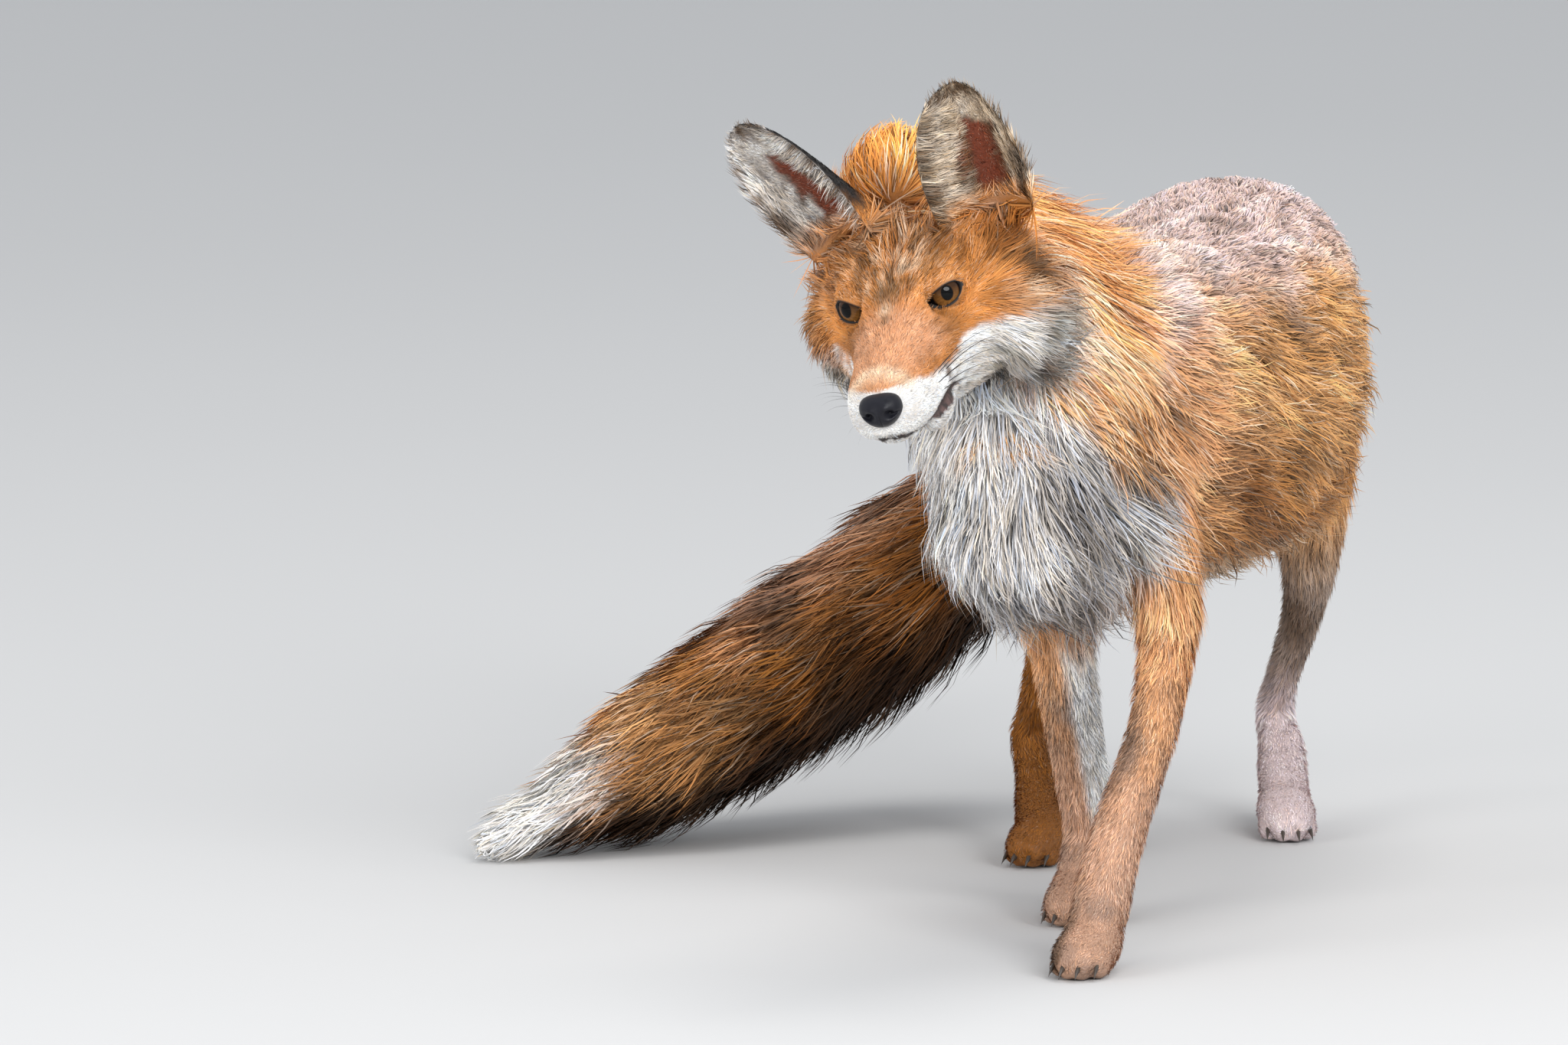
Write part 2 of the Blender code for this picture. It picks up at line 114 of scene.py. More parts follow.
FORE_LEFT = [
    (3.0, -5.0, 23.5, 3.4, 4.6, 2.0),
    (4.0, -3.8, 17.4, 2.6, 3.4, 1.3),
    (4.2, -4.4, 14.8, 1.9, 2.2, 0.7),
    (4.1, -7.2, 11.0, 1.55, 1.65, 0.4),
    (3.3, -10.2, 7.0, 1.6, 1.6, 0.32),
    (2.8, -11.9, 4.2, 1.7, 1.65, 0.32),
    (2.7, -12.8, 2.4, 1.75, 1.7, 0.32),
]
FORE_RIGHT = [
    (-3.8, -4.5, 23.5, 3.4, 4.6, 2.0),
    (-2.4, -2.6, 17.4, 2.6, 3.2, 1.2),
    (-1.8, -1.8, 14.6, 2.1, 2.2, 0.7),
    (-1.75, 0.4, 10.6, 1.8, 1.7, 0.4),
    (-1.6, 2.6, 6.6, 1.6, 1.55, 0.32),
    (-1.5, 3.6, 4.0, 1.6, 1.5, 0.32),
    (-1.5, 3.4, 2.4, 1.65, 1.6, 0.32),
]
HIND_LEFT = [
    (3.0, 28.0, 26.0, 4.6, 6.6, 1.7),
    (3.9, 28.8, 20.0, 3.4, 5.2, 1.3),
    (4.1, 30.2, 15.6, 2.1, 3.3, 0.8),
    (3.0, 33.2, 11.6, 1.4, 2.0, 0.5),
    (1.1, 37.0, 7.6, 1.15, 1.5, 0.4),
    (0.4, 38.4, 5.5, 1.3, 1.5, 0.35),
    (1.2, 36.4, 3.6, 1.25, 1.3, 0.32),
    (1.8, 33.8, 2.0, 1.4, 1.3, 0.32),
]
HIND_RIGHT = [
    (-3.8, 27.5, 26.0, 4.6, 6.6, 1.7),
    (-5.2, 24.0, 20.0, 3.6, 5.2, 1.3),
    (-6.4, 21.0, 15.6, 2.4, 3.4, 0.8),
    (-8.0, 23.2, 11.4, 1.6, 2.0, 0.5),
    (-9.6, 26.2, 7.2, 1.2, 1.6, 0.4),
    (-10.0, 26.8, 5.4, 1.35, 1.5, 0.35),
    (-9.0, 24.4, 3.2, 1.3, 1.3, 0.32),
    (-8.0, 22.2, 1.9, 1.4, 1.3, 0.32),
]
# A paw along its own length, from heel to toe tips: reach, height, half sizes, coat.
PAW = [
    (-1.9, 1.6, 0.9, 1.2, 0.25),
    (-1.0, 1.6, 1.4, 1.6, 0.3),
    (0.8, 1.45, 1.75, 1.6, 0.3),
    (2.4, 1.1, 1.65, 1.3, 0.3),
    (3.6, 0.75, 1.05, 0.85, 0.25),
]
# Paw centre x, y and the way its toes point, in degrees towards the animal's left.
PAWS = {
    "fore_left": (2.75, -14.0, -6.0),
    "fore_right": (-1.5, 2.2, -4.0),
    "hind_left": (2.2, 32.4, 18.0),
    "hind_right": (-7.6, 20.8, -10.0),
}
# Toes of one paw: sideways place, reach of the tip, spread outwards.
TOES = [(-1.05, 2.75, -0.16), (-0.38, 3.45, -0.05), (0.38, 3.45, 0.05), (1.05, 2.75, 0.16)]

# The head has a frame of its own: origin midway between the eyes.
HEAD_ORIGIN = (-5.8, -19.97, 33.69)
HEAD_SCALE = 1.027
# The head's left, back and up in the animal's frame.
HEAD_AXES = ((0.980, 0.016, 0.197), (-0.055, 0.979, 0.196), (-0.190, -0.202, 0.961))
# Stations in the head's frame.
HEAD = [
    (0.0, -8.1, -3.0, 1.0, 1.2, 0.06),
    (0.0, -7.4, -3.0, 1.75, 1.8, 0.08),
    (0.0, -6.0, -2.93, 2.05, 2.2, 0.12),
    (0.05, -4.0, -2.77, 2.2, 2.5, 0.16),
    (0.1, -2.25, -2.55, 2.55, 2.9, 0.24),
    (0.13, -1.05, -2.42, 3.0, 3.3, 0.32),
    (0.14, -0.05, -2.23, 3.6, 3.8, 0.44),
    (0.16, 0.95, -2.05, 4.5, 4.3, 0.7),
    (0.19, 2.35, -1.88, 5.6, 4.75, 1.1),
    (0.23, 3.95, -1.71, 6.4, 5.0, 1.5),
    (0.29, 5.95, -1.65, 6.2, 4.8, 1.7),
    (0.39, 8.15, -1.8, 5.0, 4.1, 1.6),
    (0.47, 9.75, -2.0, 3.0, 2.8, 1.4),
]
# Balls fused with the head, in its frame: place, half sizes, coat. Brow and jowl have a twin.
RUFFS = [
    (4.4, 4.0, -3.2, 2.6, 3.8, 3.1, 1.5),
    (-3.3, 4.4, -3.45, 2.2, 3.2, 2.7, 1.4),
]
BROW = (1.95, 1.3, 0.75, 1.3, 1.3, 0.9, 0.32)
JOWL = (1.45, -3.2, -4.55, 0.9, 2.2, 1.05, 0.14)
EYE = (2.1, 0.5, -0.05, 0.9)  # centre and radius
EYE_OUT = (0.46, -0.88, 0.12)  # the way the left eye looks
NOSE = (0.0, -8.0, -2.8, 1.05, 0.95, 0.85)  # centre and half sizes
# Each ear: base, tip, the way it opens, greatest half width, and the share by which its
# left edge draws in towards the tip.
EARS = {
    "left": ((4.27, 3.64, 1.98), (4.35, 3.27, 9.25), (0.20, -0.96, 0.15), 2.7, 0.3),
    "right": ((-3.01, 4.02, 1.83), (-6.65, 3.59, 8.9), (-0.53, -0.83, -0.04), 2.75, 0.0),
}
EAR_THICKNESS = 0.32
CLAW_LENGTH = 1.05
# The line of the mouth seen from the side: y and height, from below the nose to its corner.
MOUTH_Y = (-8.0, -7.2, -6.1, -5.5, -4.5, -3.5, -2.5, -1.6, -0.8)
MOUTH_Z = (-4.28, -4.55, -4.62, -4.45, -4.0, -3.85, -3.82, -3.95, -4.1)


# --- small numeric tools -------------------------------------------------------------


def unit(vectors):
    lengths = np.linalg.norm(vectors, axis=-1, keepdims=True)
    return vectors / np.maximum(lengths, 1e-9)


def dot(a, b):
    return (a * b).sum(axis=-1, keepdims=True)


def ramp(values, low, high):
    """0 at `low`, 1 at `high`, smooth between."""
    t = np.clip((values - low) / (high - low), 0.0, 1.0)
    return t * t * (3 - 2 * t)


def hump(values, centre, width):
    return np.exp(-(((values - centre) / width) ** 2))


def fade(a, b, share):
    """Numbers moved towards others by a share."""
    return a * (1 - share) + b * share


def blend(a, b, share):
    """The same for rows of three."""
    return fade(a, b, np.asarray(share)[..., None])


def paw_axes(turn):
    """The way that toes point, `turn` degrees to the left of straight ahead, and across it."""
    ahead = np.array([math.sin(math.radians(turn)), -math.cos(math.radians(turn)), 0.0])
    return ahead, np.array([ahead[1], -ahead[0], 0.0])


def cell_random(cells, salt):
    """A number from 0 to 1 for each whole-numbered cell."""
    cells = cells.astype(np.int64).astype(np.uint64)
    mixed = cells[..., 0] * np.uint64(73856093)
    mixed = mixed ^ (cells[..., 1] * np.uint64(19349663))
    mixed = mixed ^ (cells[..., 2] * np.uint64(83492791))
    mixed = mixed ^ np.uint64(salt * 2654435761)
    mixed = (mixed ^ (mixed >> np.uint64(15))) * np.uint64(2246822519)
    mixed = (mixed ^ (mixed >> np.uint64(13))) * np.uint64(3266489917)
    mixed = mixed ^ (mixed >> np.uint64(16))
    return (mixed & np.uint64(0xFFFFFF)).astype(float) / 0xFFFFFF


def noise(points, size, salt=0):
    """Smooth noise from -1 to 1, with blobs about `size` across."""
    scaled = points / size
    whole = np.floor(scaled)
    part = scaled - whole
    part = part * part * (3 - 2 * part)
    total = np.zeros(len(points))
    for corner in np.ndindex(2, 2, 2):
        share = np.prod(np.where(corner, part, 1 - part), axis=1)
        total += share * cell_random(whole + corner, salt)
    return 2 * total - 1


def clumps(points, size, salt):
    """For each point, the centre of its clump and two random numbers of the clump."""
    base = np.floor(points / size)
    best = np.full(len(points), np.inf)
    centre = np.zeros_like(points)
    chosen = np.zeros_like(points)
    for step in np.ndindex(3, 3, 3):
        cell = base + np.array(step) - 1
        jitter = np.stack([cell_random(cell, salt + k) for k in range(3)], axis=1)
        place = (cell + jitter) * size
        gap = ((place - points) ** 2).sum(axis=1)
        nearer = gap < best
        best[nearer] = gap[nearer]
        centre[nearer] = place[nearer]
        chosen[nearer] = cell[nearer]
    return centre, cell_random(chosen, salt + 5), cell_random(chosen, salt + 6)


# --- frames --------------------------------------------------------------------------


class Frame:
    """Carries points between the animal's centimetres, the head's own and the scene."""

    def __init__(self):
        self.axes = np.array(HEAD_AXES)
        self.origin = np.array(HEAD_ORIGIN)
        low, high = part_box("eye_left")
        eye = (np.array(low) + np.array(high)) / 2
        self.shift = eye - self.from_head(np.array([EYE[:3]]))[0] * CM

    def from_head(self, points):
        return self.origin + HEAD_SCALE * np.asarray(points, float) @ self.axes

    def to_head(self, points):
        return (points - self.origin) @ self.axes.T / HEAD_SCALE

    def head_direction(self, vectors):
        return np.asarray(vectors, float) @ self.axes

    def to_scene(self, points):
        return np.asarray(points, float) * CM + self.shift

    def from_scene(self, points):
        return (points - self.shift) / CM


class Tube:
    """A stretch of the body along a smooth path, with an oval section and a lie of hair."""

    def __init__(self, stations, across=(1, 0, 0), squareness=2.0, lie=1.0, sleek=0.0):
        self.squareness = squareness
        self.sleek = sleek
        self.rows = smooth_rows(stations)
        forward = unit(np.gradient(self.rows[:, :3], axis=0))
        side = np.array(across, float) - dot(forward, np.array(across, float)) * forward
        self.forward = forward
        self.side = unit(side)
        self.rise = np.cross(self.side, forward)
        self.lie = forward * lie

    def coat(self, depth, angle):
        """Depth of the coat round the path: `sleek` is the share it loses on top."""
        return depth * (1 - self.sleek * ramp(np.sin(angle), 0.1, 0.8))

    def radius(self, angle, inset):
        """Distance from the path to the surface; `inset` 1 is the skin, 0 the coat's tips."""
        depth = inset * self.coat(self.rows[:, None, 5], angle)
        width = np.maximum(self.rows[:, None, 3] - depth, 0.12)
        height = np.maximum(self.rows[:, None, 4] - depth, 0.12)
        across = abs(np.cos(angle)) / width
        upward = abs(np.sin(angle)) / height
        n = self.squareness
        return (across**n + upward**n) ** (-1 / n)

    def fill(self, bm, frame):
        """Adds the skin of this stretch to a bmesh."""
        angle = np.tile(math.tau * np.arange(SIDES) / SIDES, (len(self.rows), 1))
        reach = self.radius(angle, 1.0)[..., None]
        spoke = np.cos(angle)[..., None] * self.side[:, None]
        spoke = spoke + np.sin(angle)[..., None] * self.rise[:, None]
        points = frame.to_scene(self.rows[:, None, :3] + reach * spoke)
        add_rings(bm, points)

    def measure(self, points):
        """For each point: nearest row, depth of the coat there, height above the skin."""
        gap = ((points[:, None] - self.rows[None, :, :3]) ** 2).sum(axis=2)
        row = gap.argmin(axis=1)
        away = points - self.rows[row, :3]
        x = (away * self.side[row]).sum(axis=1)
        y = (away * self.rise[row]).sum(axis=1)
        angle = np.arctan2(y, x)
        depth = self.coat(self.rows[row, 5], angle)
        size = np.maximum(self.rows[row, 3:5] - depth[:, None], 0.3)
        oval = 1 / np.hypot(np.cos(angle) / size[:, 0], np.sin(angle) / size[:, 1])
        return row, depth, np.linalg.norm(away, axis=1) - oval


def smooth_rows(stations, steps=STEPS):
    """The stations with further ones between them, on a smooth curve."""
    known = np.array(stations, float)
    ends = np.vstack([2 * known[0] - known[1], known, 2 * known[-1] - known[-2]])
    rows = []
    for before, start, end, after in zip(ends, ends[1:], ends[2:], ends[3:]):
        for t in np.arange(steps) / steps:
            bend = 2 * before - 5 * start + 4 * end - after
            twist = 3 * start - before - 3 * end + after
            rows.append(start + 0.5 * t * ((end - before) + t * (bend + t * twist)))
    rows.append(known[-1])
    return np.array(rows)


def add_rings(bm, points):
    """Skins closed rings of points into one closed tube."""
    rings = [[bm.verts.new(p) for p in ring] for ring in points]
    count = len(rings[0])
    for ring, following in zip(rings, rings[1:]):
        for i in range(count):
            j = (i + 1) % count
            bm.faces.new((ring[i], ring[j], following[j], following[i]))
    bm.faces.new(rings[0])
    bm.faces.new(rings[-1])


def head_tube(frame):
    rows = np.array(HEAD)
    rows[:, :3] = frame.from_head(rows[:, :3])
    rows[:, 3:] *= HEAD_SCALE
    return Tube(rows, across=frame.axes[0])


def paw_tube(name):
    x, y, turn = PAWS[name]
    ahead = paw_axes(turn)[0]
    return Tube([(*(np.array([x, y, z]) + ahead * reach), *sizes) for reach, z, *sizes in PAW])


def make_tubes(frame):
    """Every stretch of the body."""
    tubes = {
        "head": head_tube(frame),
        "trunk": Tube(TRUNK, squareness=2.3, sleek=0.5),
        "neck": Tube(NECK, lie=-1.0),
        "mane": Tube(MANE),
        "tail": Tube(TAIL, across=(0.5, -0.8, 0.0)),
        "fore_left": Tube(FORE_LEFT),
        "fore_right": Tube(FORE_RIGHT),
        "hind_left": Tube(HIND_LEFT),
        "hind_right": Tube(HIND_RIGHT),
    }
    return tubes | {f"paw_{name}": paw_tube(name) for name in PAWS}


class Ear:
    """A cupped, leaf-shaped shell in the head's frame."""

    def __init__(self, side, frame):
        base, tip, opening, self.half_width, self.draw_in = EARS[side]
        self.frame = frame
        self.base = np.array(base)
        self.length = np.linalg.norm(np.array(tip) - self.base)
        self.axis = unit(np.array(tip) - self.base)
        front = np.array(opening)
        self.front = unit(front - dot(front, self.axis) * self.axis)
        self.side = np.cross(self.axis, self.front)

    @staticmethod
    def width_at(t):
        rise = 0.86 + 0.14 * np.sin(np.pi / 2 * np.clip(t / 0.4, 0, 1))
        fall = np.clip((t - 0.4) / 0.6, 0, 1)
        return rise * np.maximum(np.sqrt(np.maximum(1 - fall**2.15, 0.0)), 0.12)

    @staticmethod
    def bend_at(t):
        """Half the angle that the cup spans, in radians."""
        return np.radians(EAR_BEND[0] + EAR_BEND[1] * (1 - t) ** 1.4)

    def left_edge(self, t):
        """The share of the half width that is left of the axis, at a height 0..1."""
        return 1 - self.draw_in * np.clip((t - 0.2) / 0.6, 0, 1)

    def shell(self, along=30, across=24):
        """Rings of points round the shell, from root to tip, in the head's frame."""
        rings = []
        for t in np.linspace(0, 1, along):
            width = (self.half_width - 0.1) * self.width_at(t)
            bend = self.bend_at(t)
            radius = width / math.sin(bend)
            ring = []
            for face, depth in ((1, 0.05), (-1, EAR_THICKNESS * (1.15 - 0.4 * t) - 0.04)):
                for i in range(across + 1):
                    u = face * (2 * i / across - 1)
                    edge = 1 - 0.55 * abs(u) ** 6 if face < 0 else 1.0
                    out = radius * (math.cos(bend) - math.cos(u * bend))
                    place = self.base + self.axis * (self.length * 0.985 * t)
                    across_cup = radius * math.sin(u * bend)
                    if across_cup > 0:
                        across_cup *= self.left_edge(t)
                    place = place + self.side * across_cup
                    ring.append(place + self.front * (out - depth * edge))
            rings.append(ring)
        return np.array(rings)

    def measure(self, points):
        """Height along the ear 0..1, place across it -1..1, for points in the head's frame."""
        away = points - self.base
        t = (away @ self.axis) / self.length
        u = (away @ self.side) / (self.half_width * self.width_at(np.clip(t, 0, 1)))
        u = np.where(u > 0, u / self.left_edge(t), u)
        return t, u, away @ self.front


# --- the skin ------------------------------------------------------------------------


def linked(name, data):
    """A new object of the scene."""
    thing = bpy.data.objects.new(name, data)
    bpy.context.scene.collection.objects.link(thing)
    return thing


def add_ball(bm, centre, half_sizes, frame):
    made = bmesh.ops.create_icosphere(bm, subdivisions=4, radius=1.0)
    for vert in made["verts"]:
        local = np.array(vert.co) * half_sizes + centre
        vert.co = frame.to_scene(frame.from_head(local))


def add_toes(bm, name, frame):
    """Four toes and a pad on one paw, inside the paw's outline."""
    x, y, turn = PAWS[name]
    ahead, aside = paw_axes(turn)
    for place, reach, spread in TOES:
        heading = unit(ahead - aside * spread)
        root = np.array([x, y, 1.25]) - aside * place * 0.55 - ahead * 0.4
        tip = np.array([x, y, 0.62]) - aside * place + ahead * reach
        rows = [
            (*root, 0.6, 1.0, 0.0),
            (*(0.5 * root + 0.5 * tip + np.array([0, 0, 0.12])), 0.56, 0.85, 0.0),
            (*(tip - 0.5 * heading), 0.52, 0.62, 0.0),
            (*(tip + np.array([0, 0, -0.08])), 0.3, 0.34, 0.0),
        ]
        Tube(rows).fill(bm, frame)


def add_pastern(bm, name, ankle, frame):
    """Fills the notch between the front of a leg and the top of its paw."""
    x, y, turn = PAWS[name]
    low = np.array([x, y, 1.35]) + paw_axes(turn)[0] * 1.1
    rows = [
        (*(ankle + np.array([0, 0, 1.2])), 1.0, 1.0, 0.0),
        (*ankle, 1.2, 1.2, 0.0),
        (*low, 1.3, 1.15, 0.0),
    ]
    Tube(rows).fill(bm, frame)


def eye_axes(side, frame):
    """Centre, and the outward, up and gaze directions of an eye, in the animal's frame."""
    gaze = unit(np.array([side * EYE_OUT[0], *EYE_OUT[1:]]))
    outer = unit(np.array([side * -EYE_OUT[1], EYE_OUT[0], 0.0]))
    up = unit(np.cross(gaze, outer)) * side
    centre = frame.from_head(np.array([[side * EYE[0], *EYE[1:3]]]))[0]
    return centre, frame.head_direction(outer), frame.head_direction(up), frame.head_direction(gaze)


def applied(thing):
    """The object with its modifiers made real."""
    graph = bpy.context.evaluated_depsgraph_get()
    mesh = bpy.data.meshes.new_from_object(thing.evaluated_get(graph))
    thing.modifiers.clear()
    old = thing.data
    thing.data = mesh
    bpy.data.meshes.remove(old)
    return thing


def read(items, key, kind=np.float32):
    """Three numbers of each item of a mesh."""
    found = np.empty(len(items) * 3, kind)
    items.foreach_get(key, found)
    return found.reshape(-1, 3)


def points_of(mesh):
    return read(mesh.vertices, "co").astype(float)


def normals_of(mesh):
    return read(mesh.vertex_normals, "vector").astype(float)


def triangles_of(mesh):
    mesh.calc_loop_triangles()
    return read(mesh.loop_triangles, "vertices", np.int32)


def move_points(mesh, points):
    mesh.vertices.foreach_set("co", points.astype(np.float32).ravel())
    mesh.update()


def shade_smooth(mesh):
    mesh.polygons.foreach_set("use_smooth", np.ones(len(mesh.polygons), bool))


def make_skin(frame, tubes):
    """The bare body as one closed surface, with its face shaped."""
    bm = bmesh.new()
    for tube in tubes.values():
        tube.fill(bm, frame)
    for name in PAWS:
        add_toes(bm, name, frame)
        add_pastern(bm, name, tubes[name].rows[-1 - STEPS, :3], frame)
    for x, y, z, *half, coat in RUFFS:
        add_ball(bm, (x, y, z), np.array(half) - coat, frame)
    for side in (1, -1):
        for x, y, z, *half, coat in (BROW, JOWL):
            add_ball(bm, (side * x, y, z), np.array(half) - coat, frame)
    mesh = bpy.data.meshes.new("skin")
    bmesh.ops.recalc_face_normals(bm, faces=bm.faces)
    bm.to_mesh(mesh)
    bm.free()
    skin = linked("skin", mesh)
    remesh = skin.modifiers.new("fuse", "REMESH")
    remesh.mode = "VOXEL"
    remesh.voxel_size = SKIN_VOXEL
    smooth = skin.modifiers.new("smooth", "SMOOTH")
    smooth.factor = 0.5
    smooth.iterations = 4
    applied(skin)
    soften(skin, frame)
    shape_face(skin.data, frame)
    thin_body(skin, frame)
    return skin


def weigh(skin, weights, steps):
    """Makes a vertex group that holds the weights, rounded to even steps, and returns its name."""
    group = skin.vertex_groups.new(name="weight")
    for level in range(steps + 1):
        chosen = np.nonzero(np.round(weights * steps) == level)[0]
        group.add(chosen.tolist(), level / steps, "REPLACE")
    return group.name


def soften(skin, frame):
    """Smooths the body and legs further, so that no edge shows where stretches meet."""
    points = frame.from_scene(points_of(skin.data))
    ahead = ramp(-frame.to_head(points)[:, 1], -3.6, -1.6) * ramp(points[:, 2], 20.0, 24.0)
    ahead = ahead * ramp(-points[:, 1], 9.0, 12.0)
    toes = 1 - ramp(points[:, 2], 1.2, 2.2)
    weight = np.clip(1 - ahead - toes, 0, 1)
    smooth = skin.modifiers.new("soften", "SMOOTH")
    smooth.factor = 0.5
    smooth.iterations = 30
    smooth.vertex_group = weigh(skin, weight, 5)
    applied(skin)
    skin.vertex_groups.clear()


def shape_face(mesh, frame):
    """Presses the mouth into the muzzle, with lips that overhang a narrower jaw."""
    points = frame.from_scene(points_of(mesh))
    local = frame.to_head(points)
    x, y, z = local.T
    near = (y < 1) & (np.linalg.norm(local - np.array([0.0, -2.0, -2.0]), axis=1) < 11)
    gap, height = mouth_gap(local)
    side = np.sign(x) * ramp(abs(x), 0.0, 0.6)
    inward = np.array([0.0, 0.0, -3.4]) - local
    inward[:, 1] = 0
    inward[:, 1] = ramp(-y, 7.0, 7.8)
    inward = unit(inward)
    groove = 0.26 * np.exp(-((gap / 0.11) ** 2))
    lips = hump(y, -4.0, 2.6) * (y < -1)
    flews = 0.22 * np.where(height > 0, hump(height, 0.45, 0.75), hump(height, -0.35, 0.5)) * lips
    jaw = 0.12 * ramp(-height, 0.02, 0.3)
    local[:, 0] += np.where(near, side * (flews - jaw), 0.0)
    local += np.where(near, groove, 0.0)[:, None] * inward
    stop = hump(x, 0.0, 0.35) * hump(y, -0.2, 1.6) * ramp(z, 0.0, 0.6)
    local[:, 2] -= np.where(near, 0.10 * stop, 0.0)
    move_points(mesh, frame.to_scene(frame.from_head(local)))


def press_eyes(mesh, frame):
    """Sinks the skin behind the front of each eyeball, where the lids will stand."""
    points = frame.from_scene(points_of(mesh))
    for sign in (1, -1):
        centre, _, _, gaze = eye_axes(sign, frame)
        away = points - centre
        ahead = away @ gaze
        ring = np.linalg.norm(away - ahead[:, None] * gaze, axis=1)
        sunk = 1 - ramp(ring, 0.95, 1.35)
        wanted = np.minimum(ahead, 0.1)
        here = (ahead > -0.6) & (ahead < 2.5) & (ring < 1.4)
        points[here] += ((wanted - ahead) * sunk)[here, None] * gaze
    move_points(mesh, frame.to_scene(points))


def mouth_gap(local):
    """Distance from the mouth's line, and height above it, for places in the head's frame."""
    y = local[:, 1]
    height = local[:, 2] - np.interp(y, MOUTH_Y, MOUTH_Z)
    past = np.maximum(y - MOUTH_Y[-1], 0.0)
    return np.hypot(height, past), height


def thin_body(skin, frame):
    """Fewer triangles, with more of them kept on the head and feet."""
    points = frame.from_scene(points_of(skin.data))
    local = frame.to_head(points)
    face = 1 - ramp(local[:, 1], 2.0, 6.0)
    face[np.linalg.norm(local, axis=1) > HEAD_REACH] = 0
    feet = 1 - ramp(points[:, 2], 3.0, 6.0)
    feet[points[:, 0] < -12] = 0
    weight = 1 - 0.9 * np.maximum(face, feet)
    fewer = skin.modifiers.new("fewer", "DECIMATE")
    fewer.ratio = min(1.0, SKIN_TRIANGLES / (2 * len(skin.data.polygons)))
    fewer.vertex_group = weigh(skin, weight, 10)
    fewer.vertex_group_factor = 3.0
    applied(skin)
    skin.vertex_groups.clear()


def join_ears(skin, frame, ears):
    """Unites both ears with the skin, so that no seam is left."""
    for name, ear in ears.items():
        bm = bmesh.new()
        add_rings(bm, frame.to_scene(frame.from_head(ear.shell())))
        bmesh.ops.recalc_face_normals(bm, faces=bm.faces)
        bmesh.ops.triangulate(bm, faces=bm.faces)
        mesh = bpy.data.meshes.new(f"ear_{name}")
        bm.to_mesh(mesh)
        bm.free()
        shell = linked(f"ear_{name}", mesh)
        union = skin.modifiers.new("ear", "BOOLEAN")
        union.operation = "UNION"
        union.solver = "MANIFOLD"
        union.object = shell
        applied(skin)
        bpy.data.objects.remove(shell)


LID_ROUND = 72  # points round one lid
LID_SLANT = 0.20  # rise of the outer corner
# Rings of a lid from inside the eye outwards: share of the opening, distance from the centre.
LID_RINGS = [
    (0.88, 0.82),
    (0.96, 0.9),
    (1.0, 0.945),
    (1.05, 0.99),
    (1.12, 1.02),
    (1.25, 1.02),
    (1.45, 1.0),
    (1.7, 0.98),
    (1.95, 0.96),
    (2.2, 0.94),
    (2.45, 0.92),
]


def lid_outline():
    """The almond opening of the lids, outwards and up from the middle of the eye."""
    turn = math.tau * np.arange(LID_ROUND) / LID_ROUND
    outer = 0.85 * np.cos(turn)
    rise = np.where(np.sin(turn) > 0, 0.44, 0.50) * np.sign(np.sin(turn))
    rise = rise * abs(np.sin(turn)) ** 1.15
    corner = hump(turn, math.pi, 0.30)
    return outer - 0.16 * corner, rise + LID_SLANT * outer - 0.12 * corner - 0.05


def make_lids(frame, skin_tree):
    """Two rings of lid, from behind the eyeball's front out to the skin: points and faces."""
    shapes = []
    for side in (1, -1):
        centre, outer, up, gaze = eye_axes(side, frame)
        across, rise = lid_outline()
        heading = unit(np.stack([across, rise], axis=1))
        rings = []
        for share, radius in LID_RINGS:
            # Outer rings turn into even circles, so that the lids end in a round dish.
            even = np.clip((share - 1.12) / 1.3, 0, 1)
            reach = np.hypot(across, rise) * share * (1 - even) + 0.70 * share * even
            steep = 0.78 * radius
            ahead = np.sqrt(radius**2 - np.minimum(reach, steep) ** 2)
            ahead = ahead - 0.9 * np.maximum(reach - steep, 0.0)
            flat = heading[:, :1] * outer + heading[:, 1:] * up
            ring = centre + HEAD_SCALE * (reach[:, None] * flat + ahead[:, None] * gaze)
            merge = np.maximum(ramp(np.array(share), 1.2, 2.1), ramp(reach, 0.98, 1.4))
            rings.append(blend(ring, skin_below(ring, gaze, frame, skin_tree), merge))
        points = np.concatenate(rings)
        faces = []
        for j in range(len(rings) - 1):
            for i in range(LID_ROUND):
                k = (i + 1) % LID_ROUND
                a, b = j * LID_ROUND + i, j * LID_ROUND + k
                faces.append((a, b, b + LID_ROUND, a + LID_ROUND)[:: -side])
        shapes.append((points, faces))
    return shapes


def skin_below(points, gaze, frame, tree):
    """The places on the skin under these, seen against the gaze, a hair's breadth deeper."""
    found = points.copy()
    for k, point in enumerate(frame.to_scene(points + 3.0 * gaze)):
        place = tree.ray_cast(Vector(point), Vector(-gaze))[0]
        if place is not None:
            found[k] = frame.from_scene(np.array(place)) - 0.06 * gaze
    return found


# --- where hair lies, how long it is and what colour it has -----------------------------


COLOURS = {
    "orange": (0.58, 0.225, 0.058),
    "bright": (0.74, 0.29, 0.070),
    "muzzle": (0.70, 0.34, 0.175),
    "olive": (0.24, 0.22, 0.16),
    "fawn": (0.76, 0.47, 0.33),
    # Pale cream of painted light on the nape and withers.
    "nape": (0.92, 0.70, 0.55),
    "crown": (1.0, 0.40, 0.09),
    "tawny": (0.86, 0.38, 0.13),
    "tan": (0.90, 0.46, 0.215),
    "cream": (0.88, 0.70, 0.50),
    "white": (0.92, 0.90, 0.88),
    "pale": (0.74, 0.73, 0.74),
    "grey": (0.36, 0.33, 0.32),
    "dusk": (0.16, 0.13, 0.12),
    "beige": (0.84, 0.62, 0.57),
    "rump": (0.90, 0.74, 0.74),
    "ochre": (0.88, 0.45, 0.165),
    "rust": (0.35, 0.125, 0.02),
    "umber": (0.13, 0.066, 0.027),
    "black": (0.016, 0.013, 0.012),
    "lip": (0.17, 0.095, 0.085),
    # Red-brown of an ear's hollow, dark with painted shade.
    "hollow": (0.26, 0.048, 0.016),
    "shadow": (0.0, 0.0, 0.0),
}
